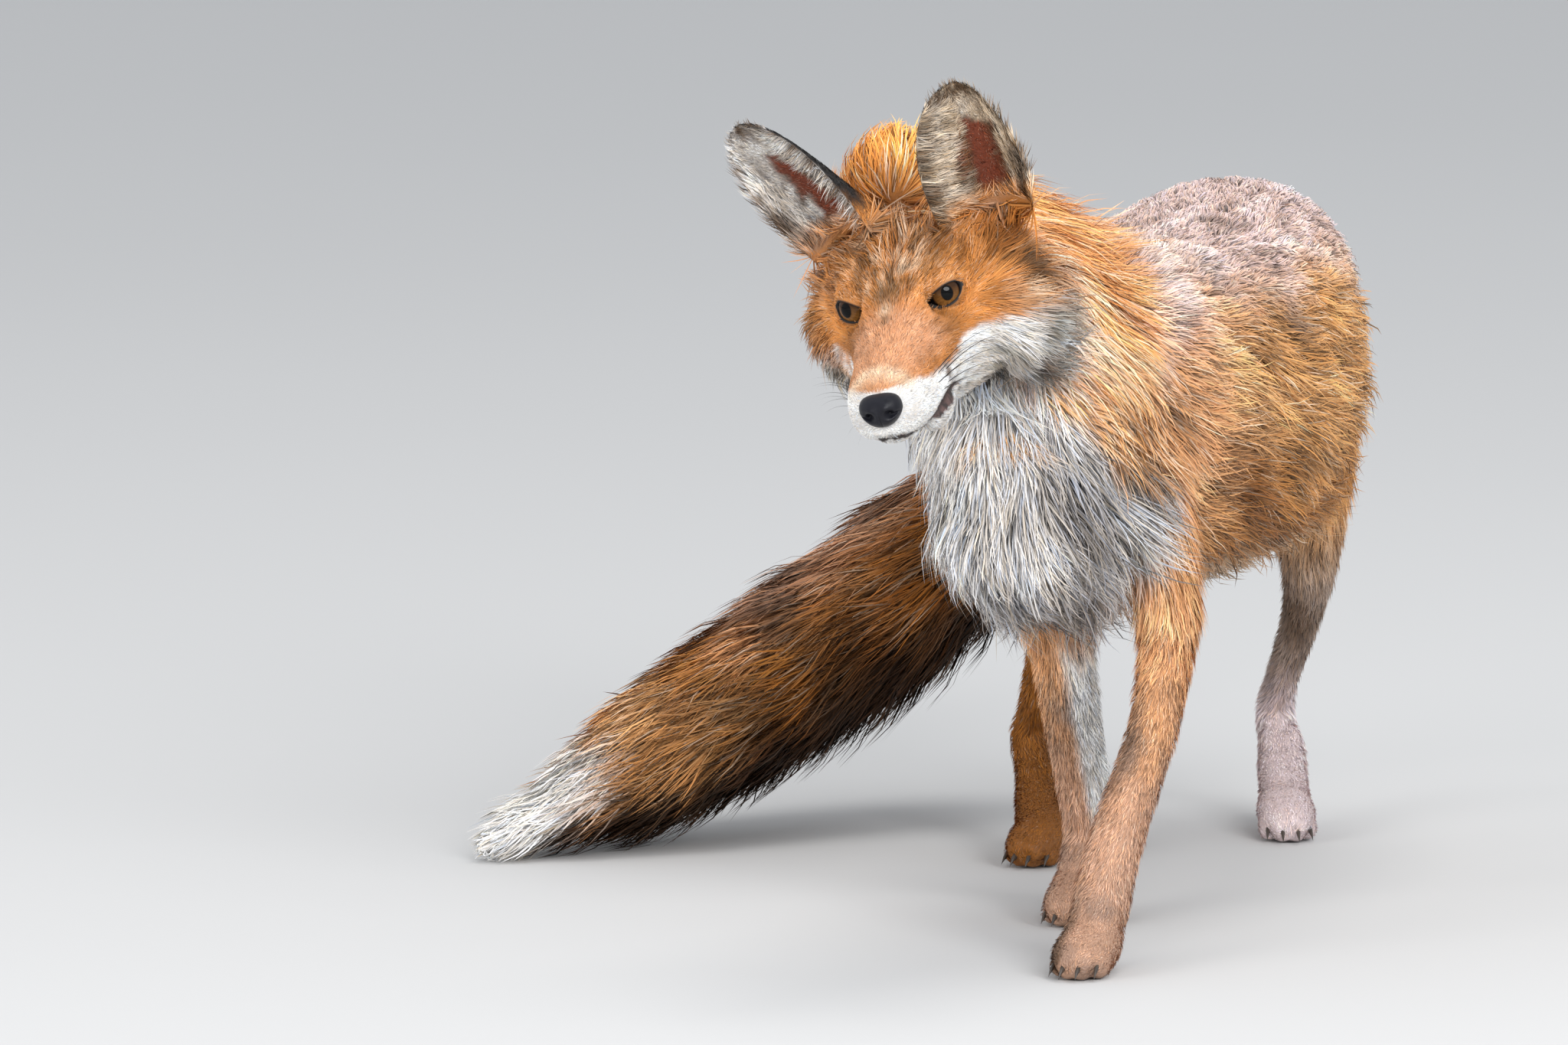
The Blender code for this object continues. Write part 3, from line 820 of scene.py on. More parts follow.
COLOURS = {name: np.array(value) for name, value in COLOURS.items()}


class Field:
    """What the hair does at many places: regions, lie, depth, length and colour."""

    def __init__(self, points, normals, tubes, ears, frame):
        self.points = points
        self.normals = normals
        self.frame = frame
        self.local = frame.to_head(points)
        self.measure_tubes(tubes)
        self.measure_ears(ears)
        self.limbs = self.total("fore_", "hind_")
        self.set_lie()

    def total(self, *words):
        """The share of the stretches whose names hold one of the words."""
        return sum(share for name, share in self.share.items() if any(word in name for word in words))

    def measure_tubes(self, tubes):
        """The share of each stretch of the body at every place, and what follows from it."""
        count = len(self.points)
        heights = np.empty((count, len(tubes)))
        lies = np.empty((count, len(tubes), 3))
        depths = np.empty((count, len(tubes)))
        along = np.empty((count, len(tubes)))
        for start in range(0, count, PLACES_AT_ONCE):
            here = slice(start, start + PLACES_AT_ONCE)
            for k, tube in enumerate(tubes.values()):
                row, depth, height = tube.measure(self.points[here])
                heights[here, k] = height
                lies[here, k] = tube.lie[row]
                depths[here, k] = depth
                along[here, k] = row / (len(tube.rows) - 1)
        share = np.exp(-(heights - heights.min(axis=1, keepdims=True)) / STRETCH_BLEND)
        share /= share.sum(axis=1, keepdims=True)
        self.share = {name: share[:, k] for k, name in enumerate(tubes)}
        self.along = {name: along[:, k] for k, name in enumerate(tubes)}
        self.heights = {name: heights[:, k] for k, name in enumerate(tubes)}
        self.owner = share.argmax(axis=1)
        self.lie = (share[..., None] * lies).sum(axis=1)
        self.depth = (share * depths).sum(axis=1)

    def measure_ears(self, ears):
        """Which places are on an ear, where on it, and the lie of its hair."""
        self.ear = np.zeros(len(self.points))
        self.ear_up = np.zeros(len(self.points))
        self.ear_side = np.zeros(len(self.points))
        self.ear_inside = np.zeros(len(self.points))
        self.ear_axis = np.zeros_like(self.points)
        for ear in ears.values():
            t, u, out = ear.measure(self.local)
            here = (t > 0.04) & (t < 1.1) & (abs(u) < 1.15) & (self.heights["head"] > 0.45)
            here &= abs(out) < 2.6
            front = self.frame.head_direction(ear.front)
            away = self.frame.head_direction(ear.side)
            # The cup's own normal turns outwards from its middle.
            bend = ear.bend_at(np.clip(t, 0, 1))
            angle = np.arcsin(np.clip(u * np.sin(bend), -1, 1))
            facing = np.cos(angle)[:, None] * front - np.sin(angle)[:, None] * away
            self.ear[here] = 1
            self.ear_up[here] = t[here]
            lateral = u * np.sign(ear.base[0])
            self.ear_side[here] = lateral[here]
            self.ear_inside[here] = ramp((self.normals * facing).sum(axis=1), -0.25, 0.25)[here]
            up = self.frame.head_direction(ear.axis)
            spread = up + 0.25 * u[:, None] * away
            # Hair sweeps inwards from the edge next to the crown, and outwards at the other.
            sweep = -0.30 * up - np.sign(u)[:, None] * away
            inner = (self.ear_inside * ramp(-lateral, 0.0, 0.4) * (1 - ramp(t, 0.75, 0.95)))[:, None]
            self.ear_axis[here] = (spread * (1 - inner) + sweep * inner)[here]

    def set_lie(self):
        """The way the hair points: back along the body, down on the breast, outwards on the cheeks."""
        x, y, z = self.local.T
        side = np.sign(x)
        head = self.share["head"]
        cheek = ramp(abs(x), 2.2, 4.5) * ramp(-z, -1.0, 2.0)
        under = ramp(-z, 4.0, 6.0)
        outward = side * (0.15 + 0.5 * cheek)
        chosen = np.stack([outward, np.ones_like(x), -0.75 * cheek - 0.1 * under], axis=1)
        brow = hump(abs(x), 2.0, 1.6) * hump(y, 0.4, 1.5) * ramp(z, 0.2, 1.0)
        chosen[:, 0] += side * brow * 0.4
        chosen[:, 2] += brow * 0.3
        lie = self.lie + head[:, None] * (self.frame.head_direction(chosen) - self.lie)
        fore = -self.points[:, 1]
        breast = ramp(fore, 2.5, 8.0) * (1 - head) * (1 - self.share["mane"])
        side_fall = abs(self.normals[:, 0]) * self.share["trunk"]
        crown = self.share["mane"] * ramp(fore, 7.5, 10.5)
        lie[:, 2] += 1.1 * crown
        lie[:, 0] -= 0.35 * crown
        fall = 1.1 * breast * (1 - self.limbs) + 0.45 * side_fall + 0.5 * self.share["neck"]
        lie[:, 2] -= fall
        lie = np.where(self.ear[:, None] > 0, self.ear_axis, lie)
        lie = lie - dot(lie, self.normals) * self.normals
        self.lie = unit(lie)

    def length(self):
        """How long a hair is at each place."""
        length = 0.3 + 1.75 * self.depth
        _, y, z = self.points.T
        back = self.share["trunk"] * ramp(self.normals[:, 2], 0.1, 0.7) * ramp(y, -4, 4)
        length = length * (1 - 0.6 * back)
        length = length + self.share["mane"] * (0.6 + 0.9 * ramp(-y, 8.5, 11.0) * ramp(z, 35.0, 37.0))
        face = self.share["head"] * (1 - ramp(self.local[:, 1], 0.0, 3.5))
        length = fade(length, 0.13 + 1.05 * self.depth, face)
        length = length + 0.7 * self.cheeks()
        across, rise = self.eye_place()
        length = length * (1 - 0.55 * face * (1 - ramp(np.hypot(across, 1.5 * rise), 1.1, 2.2)))
        inside = self.ear * self.ear_inside
        fringe = ramp(-self.ear_side, -0.1, 0.4) + ramp(self.ear_side, 0.55, 0.8)
        fringe = inside * fringe * (1 - 0.75 * ramp(self.ear_up, 0.6, 0.9))
        length = fade(length, 0.26 + 0.06 * inside + 0.75 * fringe, self.ear)
        length = fade(length, 0.22 + 1.25 * self.depth, self.limbs)
        return fade(length, 0.42, self.total("paw"))

    def cheeks(self):
        """1 on the loose fur of both cheeks."""
        x, y, z = self.local.T
        return self.share["head"] * ramp(abs(x), 3.0, 4.2) * ramp(y, -0.5, 1.5) * ramp(-z, -1.5, 0.5)

    def grizzle(self):
        """The share of dark hairs and of pale hairs at each place."""
        _, y, z = self.points.T
        hx, hy, hz = self.local.T
        dark = 0.09 + 0.08 * self.share["trunk"] + 0.16 * self.share["tail"]
        pale = 0.07 + 0.01 * self.share["trunk"] + 0.03 * self.share["mane"]
        front = ramp(-y, 3.0, 8.0) * (self.share["trunk"] + self.share["neck"])
        dark = fade(dark, 0.12, front)
        pale = fade(pale, 0.3, front)
        wrist = hump(z, 10.5, 3.5) * (self.share["fore_left"] + self.share["fore_right"])
        dark = dark + 0.25 * wrist
        brow = hump(hx, 0.0, 2.6) * ramp(hy, -2.0, -0.6) * ramp(-hy, -5.5, -3.0) * ramp(hz, -0.4, 0.4)
        dark = fade(dark, 0.05 + 0.24 * brow, self.share["head"])
        pale = fade(pale, 0.06 + 0.20 * brow, self.share["head"])
        tip = ramp(self.along["tail"], 0.78, 0.86) * self.share["tail"]
        dark = dark * (1 - tip)
        inside = self.ear * self.ear_inside
        return fade(dark * (1 - self.ear), 0.22, inside), fade(pale * (1 - self.ear), 0.3, inside)

    def density(self):
        """Tufts per square centimetre."""
        back = self.share["trunk"] * ramp(self.normals[:, 2], 0.1, 0.7)
        dense = 46 + 24 * self.share["neck"] + 30 * self.share["mane"]
        dense = dense + 6 * self.share["tail"] + 20 * back
        dense = dense + self.limbs * (1 - ramp(self.depth, 0.6, 1.6)) * 42
        dense = fade(dense, 120, self.share["head"])
        face = self.share["head"] * (1 - ramp(self.local[:, 1], 1.0, 4.0))
        dense = fade(dense, 420, face)
        hollow = self.ear_inside * hump(self.ear_side, 0.15, 0.4) * (1 - ramp(self.ear_up, 0.6, 0.8))
        dense = fade(dense, 190 * (1 - 0.7 * hollow), self.ear)
        return dense * (1 - self.bare())

    def bare(self):
        """1 where no hair grows: nose, lips, rims of the lids, soles."""
        nose = np.linalg.norm((self.local - np.array(NOSE[:3])) / np.array(NOSE[3:]), axis=1)
        bare = (nose < 1.03).astype(float)
        for part in (self.lips(), self.lid_share(1.25), self.points[:, 2] < 0.25):
            bare = np.maximum(bare, part)
        return bare

    def lips(self):
        """1 on the bare edge of the mouth, which widens into a fold towards its corner."""
        y = self.local[:, 1]
        gap, height = mouth_gap(self.local)
        fold = 0.12 + 0.42 * ramp(y, -6.0, -4.6) * (1 - ramp(y, -2.4, -1.2))
        fold = fold * (1 + 0.45 * noise(self.local, 0.35, 45))
        here = (height > -fold) & (height < 0.12) & (y < -1.0) & (gap < 1.2)
        return (here & (np.linalg.norm(self.local, axis=1) < HEAD_REACH)).astype(float)

    def eye_place(self):
        """Arcs outwards and up from the middle of the nearer eye."""
        side = np.where(self.local[:, 0] < 0, -1, 1)
        across = np.full(len(side), 9.0)
        rise = np.full(len(side), 9.0)
        for sign in (1, -1):
            centre, outer, up, gaze = eye_axes(sign, self.frame)
            away = self.points - centre
            near = (side == sign) & (np.linalg.norm(away, axis=1) < 2.6) & (away @ gaze > -0.2)
            across[near] = (away @ outer)[near]
            rise[near] = (away @ up)[near]
        return across, rise

    def lid_share(self, scale):
        """1 within the almond of the lids' rims, grown by `scale`."""
        across, rise = self.eye_place()
        rise = rise - LID_SLANT * across + 0.05
        wide = np.where(across > 0, 1.0, 1.12) * (0.5 + 0.5 * scale)
        tall = np.where(rise > 0, 0.52, 0.58) * scale
        level = 1 - abs(across / wide) ** 1.9
        return (abs(rise) < tall * np.maximum(level, 0.0)).astype(float)


def layered(base, *layers):
    """Named colours laid over a base one after another, each by its share at every place."""
    colour = COLOURS[base] if isinstance(base, str) else base
    for name, share in layers:
        colour = blend(colour, COLOURS[name], np.clip(share, 0, 1))
    return colour


def paint(field):
    """The coat's colour at every place."""
    colour = paint_body(field)
    colour = blend(colour, paint_legs(field, colour), ramp(field.limbs, 0.2, 0.75))
    colour = blend(colour, paint_tail(field), ramp(field.share["tail"], 0.3, 0.6))
    colour = blend(colour, paint_head(field), ramp(field.share["head"], 0.25, 0.6))
    colour = layered(colour, ("nape", 0.85 * nape_light_band(field)))
    return blend(colour, paint_ears(field), field.ear)


def nape_light_band(field):
    """1 on the cream band behind the left ear and cheek: painted light, only where the nape faces left.
    """
    x, y, z = field.points.T
    fine = noise(field.points, 1.1, 12)
    back = field.local[:, 1]
    band = ramp(back, 4.4, 5.6) * (1 - ramp(back, 8.4, 9.8)) * ramp(-y, 6.2, 7.6) * ramp(x, -3.5, -1.5)
    return band * ramp(z, 30.6, 32.0) * ramp(fine, -0.7, 0.1) * ramp(field.normals[:, 0], -0.2, 0.3)


# Left and right edges of the pale bib at each height above the floor.
BIB_HEIGHT = (15.0, 17.5, 20.7, 24.4, 25.9, 27.2, 29.3, 33.0)
BIB_LEFT = (3.0, 3.1, 3.8, 3.1, 2.0, 0.6, -1.0, -2.8)
BIB_RIGHT = (-7.0, -7.1, -7.8, -7.8, -8.0, -8.5, -9.5, -11.0)


def paint_body(field):
    """Ochre sides with painted shade low down, a pale back and rump partly painted light from above, an
    orange neck and the breast's pale bib.
    """
    x, y, z = field.points.T
    nx, _, nz = field.normals.T
    blot = noise(field.points, 3.2, 11)
    fine = noise(field.points, 1.1, 12)
    patchy = noise(field.points * (1.0, 0.6, 0.8), 2.3, 14)
    streak = noise(field.points * (1.0, 0.6, 0.22), 0.7, 13)
    level = (z - 25) / 9.8 + 0.12 * blot + 0.05 * fine
    # The outer sides behind the shoulder, which painted shade darkens low down.
    low = ramp(y, -3, 4) * ramp(nx * np.sign(x + 0.5), -0.2, 0.3)
    # Umber patches low on the front of the sides.
    low_front_patches = ramp(patchy + 0.3 * fine, 0.15, 0.6) * ramp(y, -4, 1) * ramp(-level, -0.5, -0.2)
    mane = ramp(field.share["mane"], 0.3, 0.8)
    # Painted light along the top of the shoulders, in the nape's pale cream.
    lit_withers = (1 - field.share["head"]) * 0.6 * (hump(y, 3.0, 5.0) * ramp(level, 0.6, 0.95))
    # The breast's pale bib, wider below the throat.
    edge = np.maximum(x - np.interp(z, BIB_HEIGHT, BIB_LEFT), np.interp(z, BIB_HEIGHT, BIB_RIGHT) - x)
    bib = ramp(0.7 * blot + 0.4 * fine - edge, -0.6, 0.6) * ramp(-y, 2.5, 5.0) * ramp(-nz, -0.6, -0.3)
    bib = bib * (1 - ramp(z, 31.2, 33.2))
    return layered(
        "ochre",
        ("tan", hump(y, -3, 7) * ramp(level, -0.8, 0.0)),
        # Beige on top of the back and rump: the coat's own paler colour, with painted light from above.
        ("beige", ramp(level, 0.42, 0.8)),
        ("rump", ramp(y, 27, 34) * ramp(level, 0.1, 0.6)),
        ("grey", 0.6 * ramp(blot + 0.5 * fine, 0.3, 0.9) * ramp(level, 0.2, 0.7)),
        ("umber", 0.42 * low_front_patches),
        # Rust, then umber, low on the outer sides: painted shade under the body over its deep orange
        # coat.
        ("rust", 0.9 * ramp(-level + 0.2 * patchy, 0.1, 0.5) * low),
        ("umber", 0.5 * ramp(-level, 0.65, 0.9) * low),
        ("cream", 0.5 * ramp(-nz, 0.6, 0.95) * ramp(y, 0, 8)),
        ("tawny", ramp(field.total("neck", "mane"), 0.2, 0.7)),
        ("crown", mane * ramp(-y, 7.5, 10.0)),
        ("nape", lit_withers),
        ("pale", bib),
        ("grey", bib * ramp(streak + 0.25 * blot, 0.0, 0.6) * 0.8),
        ("grey", 0.6 * bib * hump(x, 0.8, 3.2) * hump(z, 24.5, 5.0)),
        # Umber low on the right of the bib: painted shade.
        ("umber", 0.4 * bib * ramp(-z, -21.0, -17.5) * ramp(-x, -2.0, 1.0)),
        ("white", bib * ramp(-streak, 0.05, 0.6) * 0.25),
    )


def paint_legs(field, body):
    """Tan forelegs with a dark wrist, a rusty right hind leg and a grey left one."""
    z = field.points[:, 2]
    nx, ny, _ = field.normals.T
    blot = noise(field.points, 1.6, 21)
    fine = noise(field.points, 0.6, 22)
    right_fore = field.total("fore_right")
    fore = field.total("fore_left") + right_fore
    right_hind = field.total("hind_right")
    left_hind = field.total("hind_left")
    wrist = hump(z, 10.5, 2.6) * ramp(-ny, -0.2, 0.6) * fore
    stripe = right_fore * ramp(nx, 0.0, 0.5) * ramp(z, 3, 6) * ramp(-z, -17, -13)
    # The inner sides of the fore paws, which face each other: painted shade between them.
    inner = field.share["paw_fore_left"] * ramp(-nx, 0.2, 0.7)
    inner = inner + field.share["paw_fore_right"] * ramp(nx, 0.3, 0.8)
    colour = layered(
        "ochre",
        ("tan", ramp(fore, 0.2, 0.7)),
        ("orange", ramp(fore, 0.3, 0.8) * ramp(-z, -12, -5) * 0.7),
        ("dusk", wrist * ramp(blot, -0.6, 0.5) * 0.75),
        ("white", stripe),
        ("rust", (1 - ramp(fore, 0.2, 0.7)) * ramp(-z, -20, -13) * ramp(right_hind, 0.2, 0.7)),
        ("grey", left_hind * ramp(-z, -20, -13) * 0.75),
        ("umber", left_hind * ramp(-z, -18, -11) * ramp(blot, -0.6, 0.4) * 0.7),
        ("rump", left_hind * ramp(-z, -10, -5)),
        ("umber", left_hind * hump(z, 10.0, 3.0) * 0.35 * ramp(fine, -0.3, 0.5)),
        ("fawn", fore * ramp(-z, -13.0, -8.0) * 0.8 * (1 - stripe) * (1 - 0.75 * wrist)),
        ("dusk", fore * ramp(-z, -6.0, -3.0) * (0.12 + 0.3 * ramp(blot, -0.2, 0.6))),
        ("umber", inner * 0.8),
    )
    return blend(body, colour, ramp(-z, -24, -17))


def paint_tail(field):
    """Dark brown with tan patches, blacker below, and a white tip."""
    t = field.along["tail"]
    nz = field.normals[:, 2]
    blot = noise(field.points, 2.6, 31)
    fine = noise(field.points, 0.8, 32)
    band = noise(field.points, 1.5, 33)
    return layered(
        "rust",
        ("tan", 0.55 * ramp(fine + 0.5 * blot, -0.2, 0.6)),
        ("umber", 0.76 * ramp(band + 0.4 * fine, -0.15, 0.45)),
        ("beige", 0.2 * ramp(nz, 0.5, 0.95) * (1 - ramp(t, 0.5, 0.62))),
        ("rump", 1 - ramp(t, 0.02, 0.2)),
        ("black", 0.8 * ramp(-nz, -0.1, 0.5) * ramp(t, 0.2, 0.4)),
        ("ochre", 0.55 * ramp(t + 0.03 * blot, 0.60, 0.70) * ramp(nz, -0.5, 0.1)),
        ("white", ramp(t + 0.06 * nz + 0.03 * blot + 0.02 * fine, 0.74, 0.82)),
    )


# The edge between the orange face and the white muzzle and cheek: y and height.
EDGE_Y = (-8.0, -6.6, -5.6, -4.9, -2.8, -1.9, -1.2, -0.5, 0.3, 1.4)
EDGE_Z = (-1.75, -2.0, -2.25, -2.38, -2.55, -2.45, -1.95, -1.75, -1.60, -1.50)


def paint_head(field):
    """Orange with a grizzled forehead, white lower muzzle and cheek, and a streaked ruff."""
    across = abs(field.local[:, 0])
    _, y, z = field.local.T
    streak = noise(field.local * (1.0, 0.3, 0.3), 0.34, 44)
    fine = noise(field.local, 0.45, 42)
    blot = noise(field.local, 1.3, 41)
    eyes = hump(across, 2.6, 1.3) * hump(y, 0.3, 1.8)
    below = hump(across, 2.2, 0.9) * hump(y, -1.3, 1.5) * hump(z, -1.2, 0.8)
    # A brown shade behind each eye, up to the ear.
    temple = np.clip(1.3 * hump(across, 4.9, 1.2) * hump(y, 3.0, 1.9) * hump(z, -0.7, 1.3), 0, 1)
    colour = layered(
        "orange",
        ("bright", ramp(y, 2.5, 6.0) * ramp(z, -1.5, 1.5)),
        ("muzzle", ramp(-y, 1.0, 3.2) * ramp(z, -2.4, -1.2)),
        ("bright", 0.5 * eyes),
        *forehead_marks(field, streak),
        ("shadow", 0.42 * np.clip(below, 0, 1)),
        ("cream", 0.6 * temple * ramp(-streak + 0.4 * blot, -0.1, 0.5)),
        ("umber", 0.9 * temple * ramp(streak + 0.5 * fine, -0.3, 0.3)),
    )
    return layered(colour, *cheek_marks(field, streak, fine, blot), *bare_marks(field, fine))


def forehead_marks(field, streak):
    """Pale and dark streaks over the eyes, and small marks along the ridge of the nose."""
    x, y, z = field.local.T
    forehead = hump(x, 0, 2.3) * ramp(y, -1.6, -0.4) * ramp(-y, -5, -3.0) * ramp(z, 0, 0.8)
    spot = hump(x, -0.35, 0.42) * hump(y, -1.3, 0.55) + 0.8 * hump(x, 0.25, 0.3) * hump(y, -1.2, 0.4)
    tuft = hump(x, -0.15, 0.3) * hump(y, -2.3, 0.5) * ramp(z, -0.3, 0.1)
    return [
        ("cream", forehead * 0.55 * ramp(streak, 0.05, 0.5)),
        ("umber", forehead * 0.85 * ramp(-streak, 0.0, 0.45)),
        ("umber", 0.85 * np.clip(spot, 0, 1) * ramp(z, -0.2, 0.3)),
        ("cream", 0.6 * tuft),
        ("umber", 0.8 * hump(x, -0.12, 0.2) * hump(y, -3.0, 0.35) * ramp(z, -0.6, -0.2)),
    ]


def cheek_marks(field, streak, fine, blot):
    """The white of muzzle, cheek and chin, and the grey-brown streaks of the ruff."""
    x, y, z = field.local.T
    lines = noise(field.local * (1.0, 0.35, 1.0), 0.5, 43)
    edge = np.interp(y, EDGE_Y, EDGE_Z) - z + 0.10 * fine + 0.08 * blot
    edge = edge - 2.2 * ramp(-y, 7.4, 8.2) * ramp(z, -2.0, -1.6)
    # The right side is less white.
    far = ramp(-x, 0.5, 1.5) * ramp(y, -3.4, -2.2)
    white = ramp(edge, -0.12, 0.28) * ramp(-y, -2.6, -1.4)
    white = white * (1 - far * ramp(streak + 0.5 * fine, -0.5, 0.2) * 0.85)
    ruff = ramp(y + 0.4 * blot, 0.9, 2.4) * ramp(-z + 0.3 * fine, 1.7, 2.9)
    cheek = ramp(y, -1.2, 1.2) * ramp(-z, 2.4, 3.4) * (1 - ruff)
    whisker_bed = hump(y, -3.4, 1.1) * hump(z, -2.95, 0.42) * ramp(abs(x), 1.0, 1.6)
    return [
        ("white", white),
        ("cream", 0.6 * hump(y, -7.3, 0.45) * ramp(z, -2.6, -1.9)),
        ("pale", ruff),
        ("olive", ruff * (0.42 + 0.35 * hump(z, -2.4, 1.0))),
        ("umber", 0.8 * ruff * ramp(lines, 0.05, 0.5)),
        ("cream", 0.3 * cheek),
        ("olive", 0.75 * cheek * ramp(lines + 0.3 * fine, -0.2, 0.4)),
        ("umber", 0.95 * whisker_bed * ramp(streak, -0.35, 0.2)),
        ("white", ramp(-z, 4.6, 5.2) * ramp(-y, -2.0, 0.0)),
    ]


def bare_marks(field, fine):
    """Dark lips, rims of the lids and tear lines."""
    lips = field.lips()
    gape = hump(mouth_gap(field.local)[1], 0.0, 0.14)
    mottle = noise(field.local, 0.22, 46) + 0.6 * fine
    return [
        ("lip", lips),
        ("black", lips * np.maximum(gape, 0.85 * ramp(mottle, -0.1, 0.35))),
        ("black", field.lid_share(1.12)),
        ("black", tear_line(field)),
    ]


def tear_line(field):
    """The dark streak from the inner corner of each eye towards the nose."""
    across, rise = field.eye_place()
    along = np.clip((-0.85 - across) / 0.6, 0, 1)
    middle = LID_SLANT * across - 0.12 - 0.34 * along
    reach = ramp(-across, 0.6, 0.8) * (1 - ramp(-across, 1.25, 1.5))
    return reach * hump(rise, middle, 0.20 - 0.06 * along)


def paint_ears(field):
    """Black backs; cream hair inside, with a red-brown hollow and dark, broken rims; painted shade in
    the hollow, in a fold beside it and along the outer edge.
    """
    blot = noise(field.local, 0.7, 51)
    speck = noise(field.local, 0.25, 52)
    hair = noise(field.local * (1.0, 1.0, 0.4), 0.32, 53) + 0.5 * blot
    mottle = ramp(noise(field.local, 0.4, 54), 0.0, 0.6)
    t = field.ear_up
    across = field.ear_side
    far = field.local[:, 0] < 0
    wide = np.where(field.local[:, 0] > 0, 0.5, 0.3)
    reach = hump(across, 0.16, wide * 1.1) * ramp(t, 0.06, 0.2) * (1 - ramp(t, 0.55, 0.82)) + 0.30 * hair
    fold = hump(across, -0.16, 0.2) * (1 - ramp(t, 0.5, 0.8)) + 0.3 * hair
    outer = hump(across, 0.62, 0.16) * (1 - ramp(t, 0.5, 0.9)) * ramp(hair, -0.4, 0.2)
    rim = ramp(abs(across) + 0.07 * blot, 0.80, 0.93) + ramp(t + 0.04 * blot, 0.78, 0.92)
    rim = np.clip(rim, 0, 1) * ramp(speck, -0.7, 0.2)
    back = layered("black", ("bright", 1 - ramp(t + 0.1 * blot, 0.05, 0.28)))
    inside = layered(
        "cream",
        ("white", 0.3 * ramp(blot, -0.2, 0.6)),
        ("umber", 0.35 * mottle),
        ("white", 0.8 * far),
        ("umber", 0.16 * ~far),
        # The ear's hollow: its red-brown, darkened by painted shade of its depth.
        ("umber", 0.8 * ramp(reach, 0.22, 0.5)),
        ("hollow", 0.95 * ramp(reach - 0.2 * speck, 0.42, 0.7)),
        # Umber in the fold beside the hollow and along the outer edge: painted shade.
        ("umber", 0.8 * ramp(fold, 0.4, 0.8)),
        ("umber", 0.7 * outer),
        ("bright", 0.8 * (1 - ramp(t, 0.08, 0.2))),
        ("umber", rim * 0.95),
    )
    return blend(back, inside, field.ear_inside)


# --- the coat ------------------------------------------------------------------------

LONG = SimpleNamespace(
    levels=(0.0, 0.36, 0.72),  # rows of a tuft below its tip
    widths=(0.75, 1.0, 0.66),
    faces=[(0, 3, 1), (0, 2, 3), (2, 5, 3), (2, 4, 5), (4, 6, 5)],
    lift=0.42,  # greatest lift, as a share of the length
    clump=1.0,  # size of the clumps that tips lean towards
    pull=1.0,  # how much they lean
    turn=0.55,  # how far a clump turns aside
    tip=0.95,  # share of the lift at the tip
    middle=(0.85, 0.1),  # share of the lift half way along, and what is added to it
    facing=0.4,  # share of a tuft's own face in its shading
    uneven=0.10,  # chance in its shade
    streaks=((0.75, 0.75, 1.4, 64), (0.6, 1.9, 3.0, 66)),  # strength, width, length, salt
    kept=0.45,  # share of its own colour in a pale hair
    root=0.5,  # shade at the root
)
SHORT = SimpleNamespace(
    levels=(0.0, 0.5),
    widths=(0.85, 0.8),
    faces=[(0, 3, 1), (0, 2, 3), (2, 4, 3)],
    lift=0.3,
    clump=0.42,
    pull=0.6,
    turn=0.3,
    tip=1.0,
    middle=(0.8, 0.02),
    facing=0.16,
    uneven=0.06,
    streaks=((1.0, 0.3, 0.5, 65),),
    kept=0.6,
    root=0.66,
)
# Clumps that tips lean towards: size in centimetres, salt of the noise, and how much they lean.
CLUMPS = ((1.5, 70, 0.42), (0.62, 80, 0.34))
PALER = np.array([-0.02, 0.06, 0.14])  # a light streak is paler by this, a dark one browner
WARMER = np.array([0.05, 0.0, -0.08])  # chance tint of each tuft
PALE_HAIR = np.array([1.15, 0.98, 0.78])
DARK_HAIR = 0.30

# Pieces of the coat: the slot and the hair of each.
PIECES = {
    "face_left": ("coat_head", SHORT),
    "face_right": ("coat_head", SHORT),
    "head_left": ("coat_head", SHORT),
    "head_right": ("coat_head", SHORT),
    "ears": ("coat_ears", SHORT),
    "neck": ("coat_neck", LONG),
    "mane": ("coat_neck", LONG),
    "breast": ("coat_front", LONG),
    "side_left": ("coat_front", LONG),
    "side_right": ("coat_front", LONG),
    "rear_left": ("coat_rear", LONG),
    "rear_right": ("coat_rear", LONG),
    "fore_legs": ("coat_legs", SHORT),
    "hind_legs": ("coat_hind_legs", SHORT),
    "tail_top": ("coat_tail", LONG),
    "tail_under": ("coat_tail", LONG),
}


def piece_of(field, roots):
    """Which piece of the coat each root belongs to."""
    x, y, _ = roots.points.T
    local = field.frame.to_head(roots.points)
    piece = np.array(list(field.share), dtype="U16")[roots.owner]
    head = np.where(local[:, 1] < 2.0, "face_", "head_")
    trunk = np.where(y < 14, "side_", "rear_")
    left = x > np.where(y < 14, -1.0, -0.6)
    parts = {
        "head": np.char.add(head, np.where(local[:, 0] > 0, "left", "right")),
        "trunk": np.where(y < -5, "breast", np.char.add(trunk, np.where(left, "left", "right"))),
        "tail": np.where(roots.normals[:, 2] >= 0.1, "tail_top", "tail_under"),
    }
    for name, part in parts.items():
        piece = np.where(piece == name, part, piece)
    for legs in ("fore", "hind"):
        piece[np.char.find(piece, legs) >= 0] = f"{legs}_legs"
    piece[roots.ear > 0.5] = "ears"
    return piece


def unwrap(tubes, roots):
    """Length along and arc round the nearest stretch of the body, in centimetres."""
    place = np.zeros((len(roots.points), 2))
    for k, tube in enumerate(tubes.values()):
        mine = np.nonzero(roots.owner == k)[0]
        if not len(mine):
            continue
        row = tube.measure(roots.points[mine])[0]
        gaps = np.linalg.norm(np.diff(tube.rows[:, :3], axis=0), axis=1)
        run = np.concatenate([[0], np.cumsum(gaps)])
        away = roots.points[mine] - tube.rows[row, :3]
        angle = np.arctan2((away * tube.rise[row]).sum(axis=1), (away * tube.side[row]).sum(axis=1))
        place[mine, 0] = angle * tube.rows[:, 3:5].max() + STRETCH_GAP * k
        place[mine, 1] = run[row] + (away * tube.forward[row]).sum(axis=1)
    return place


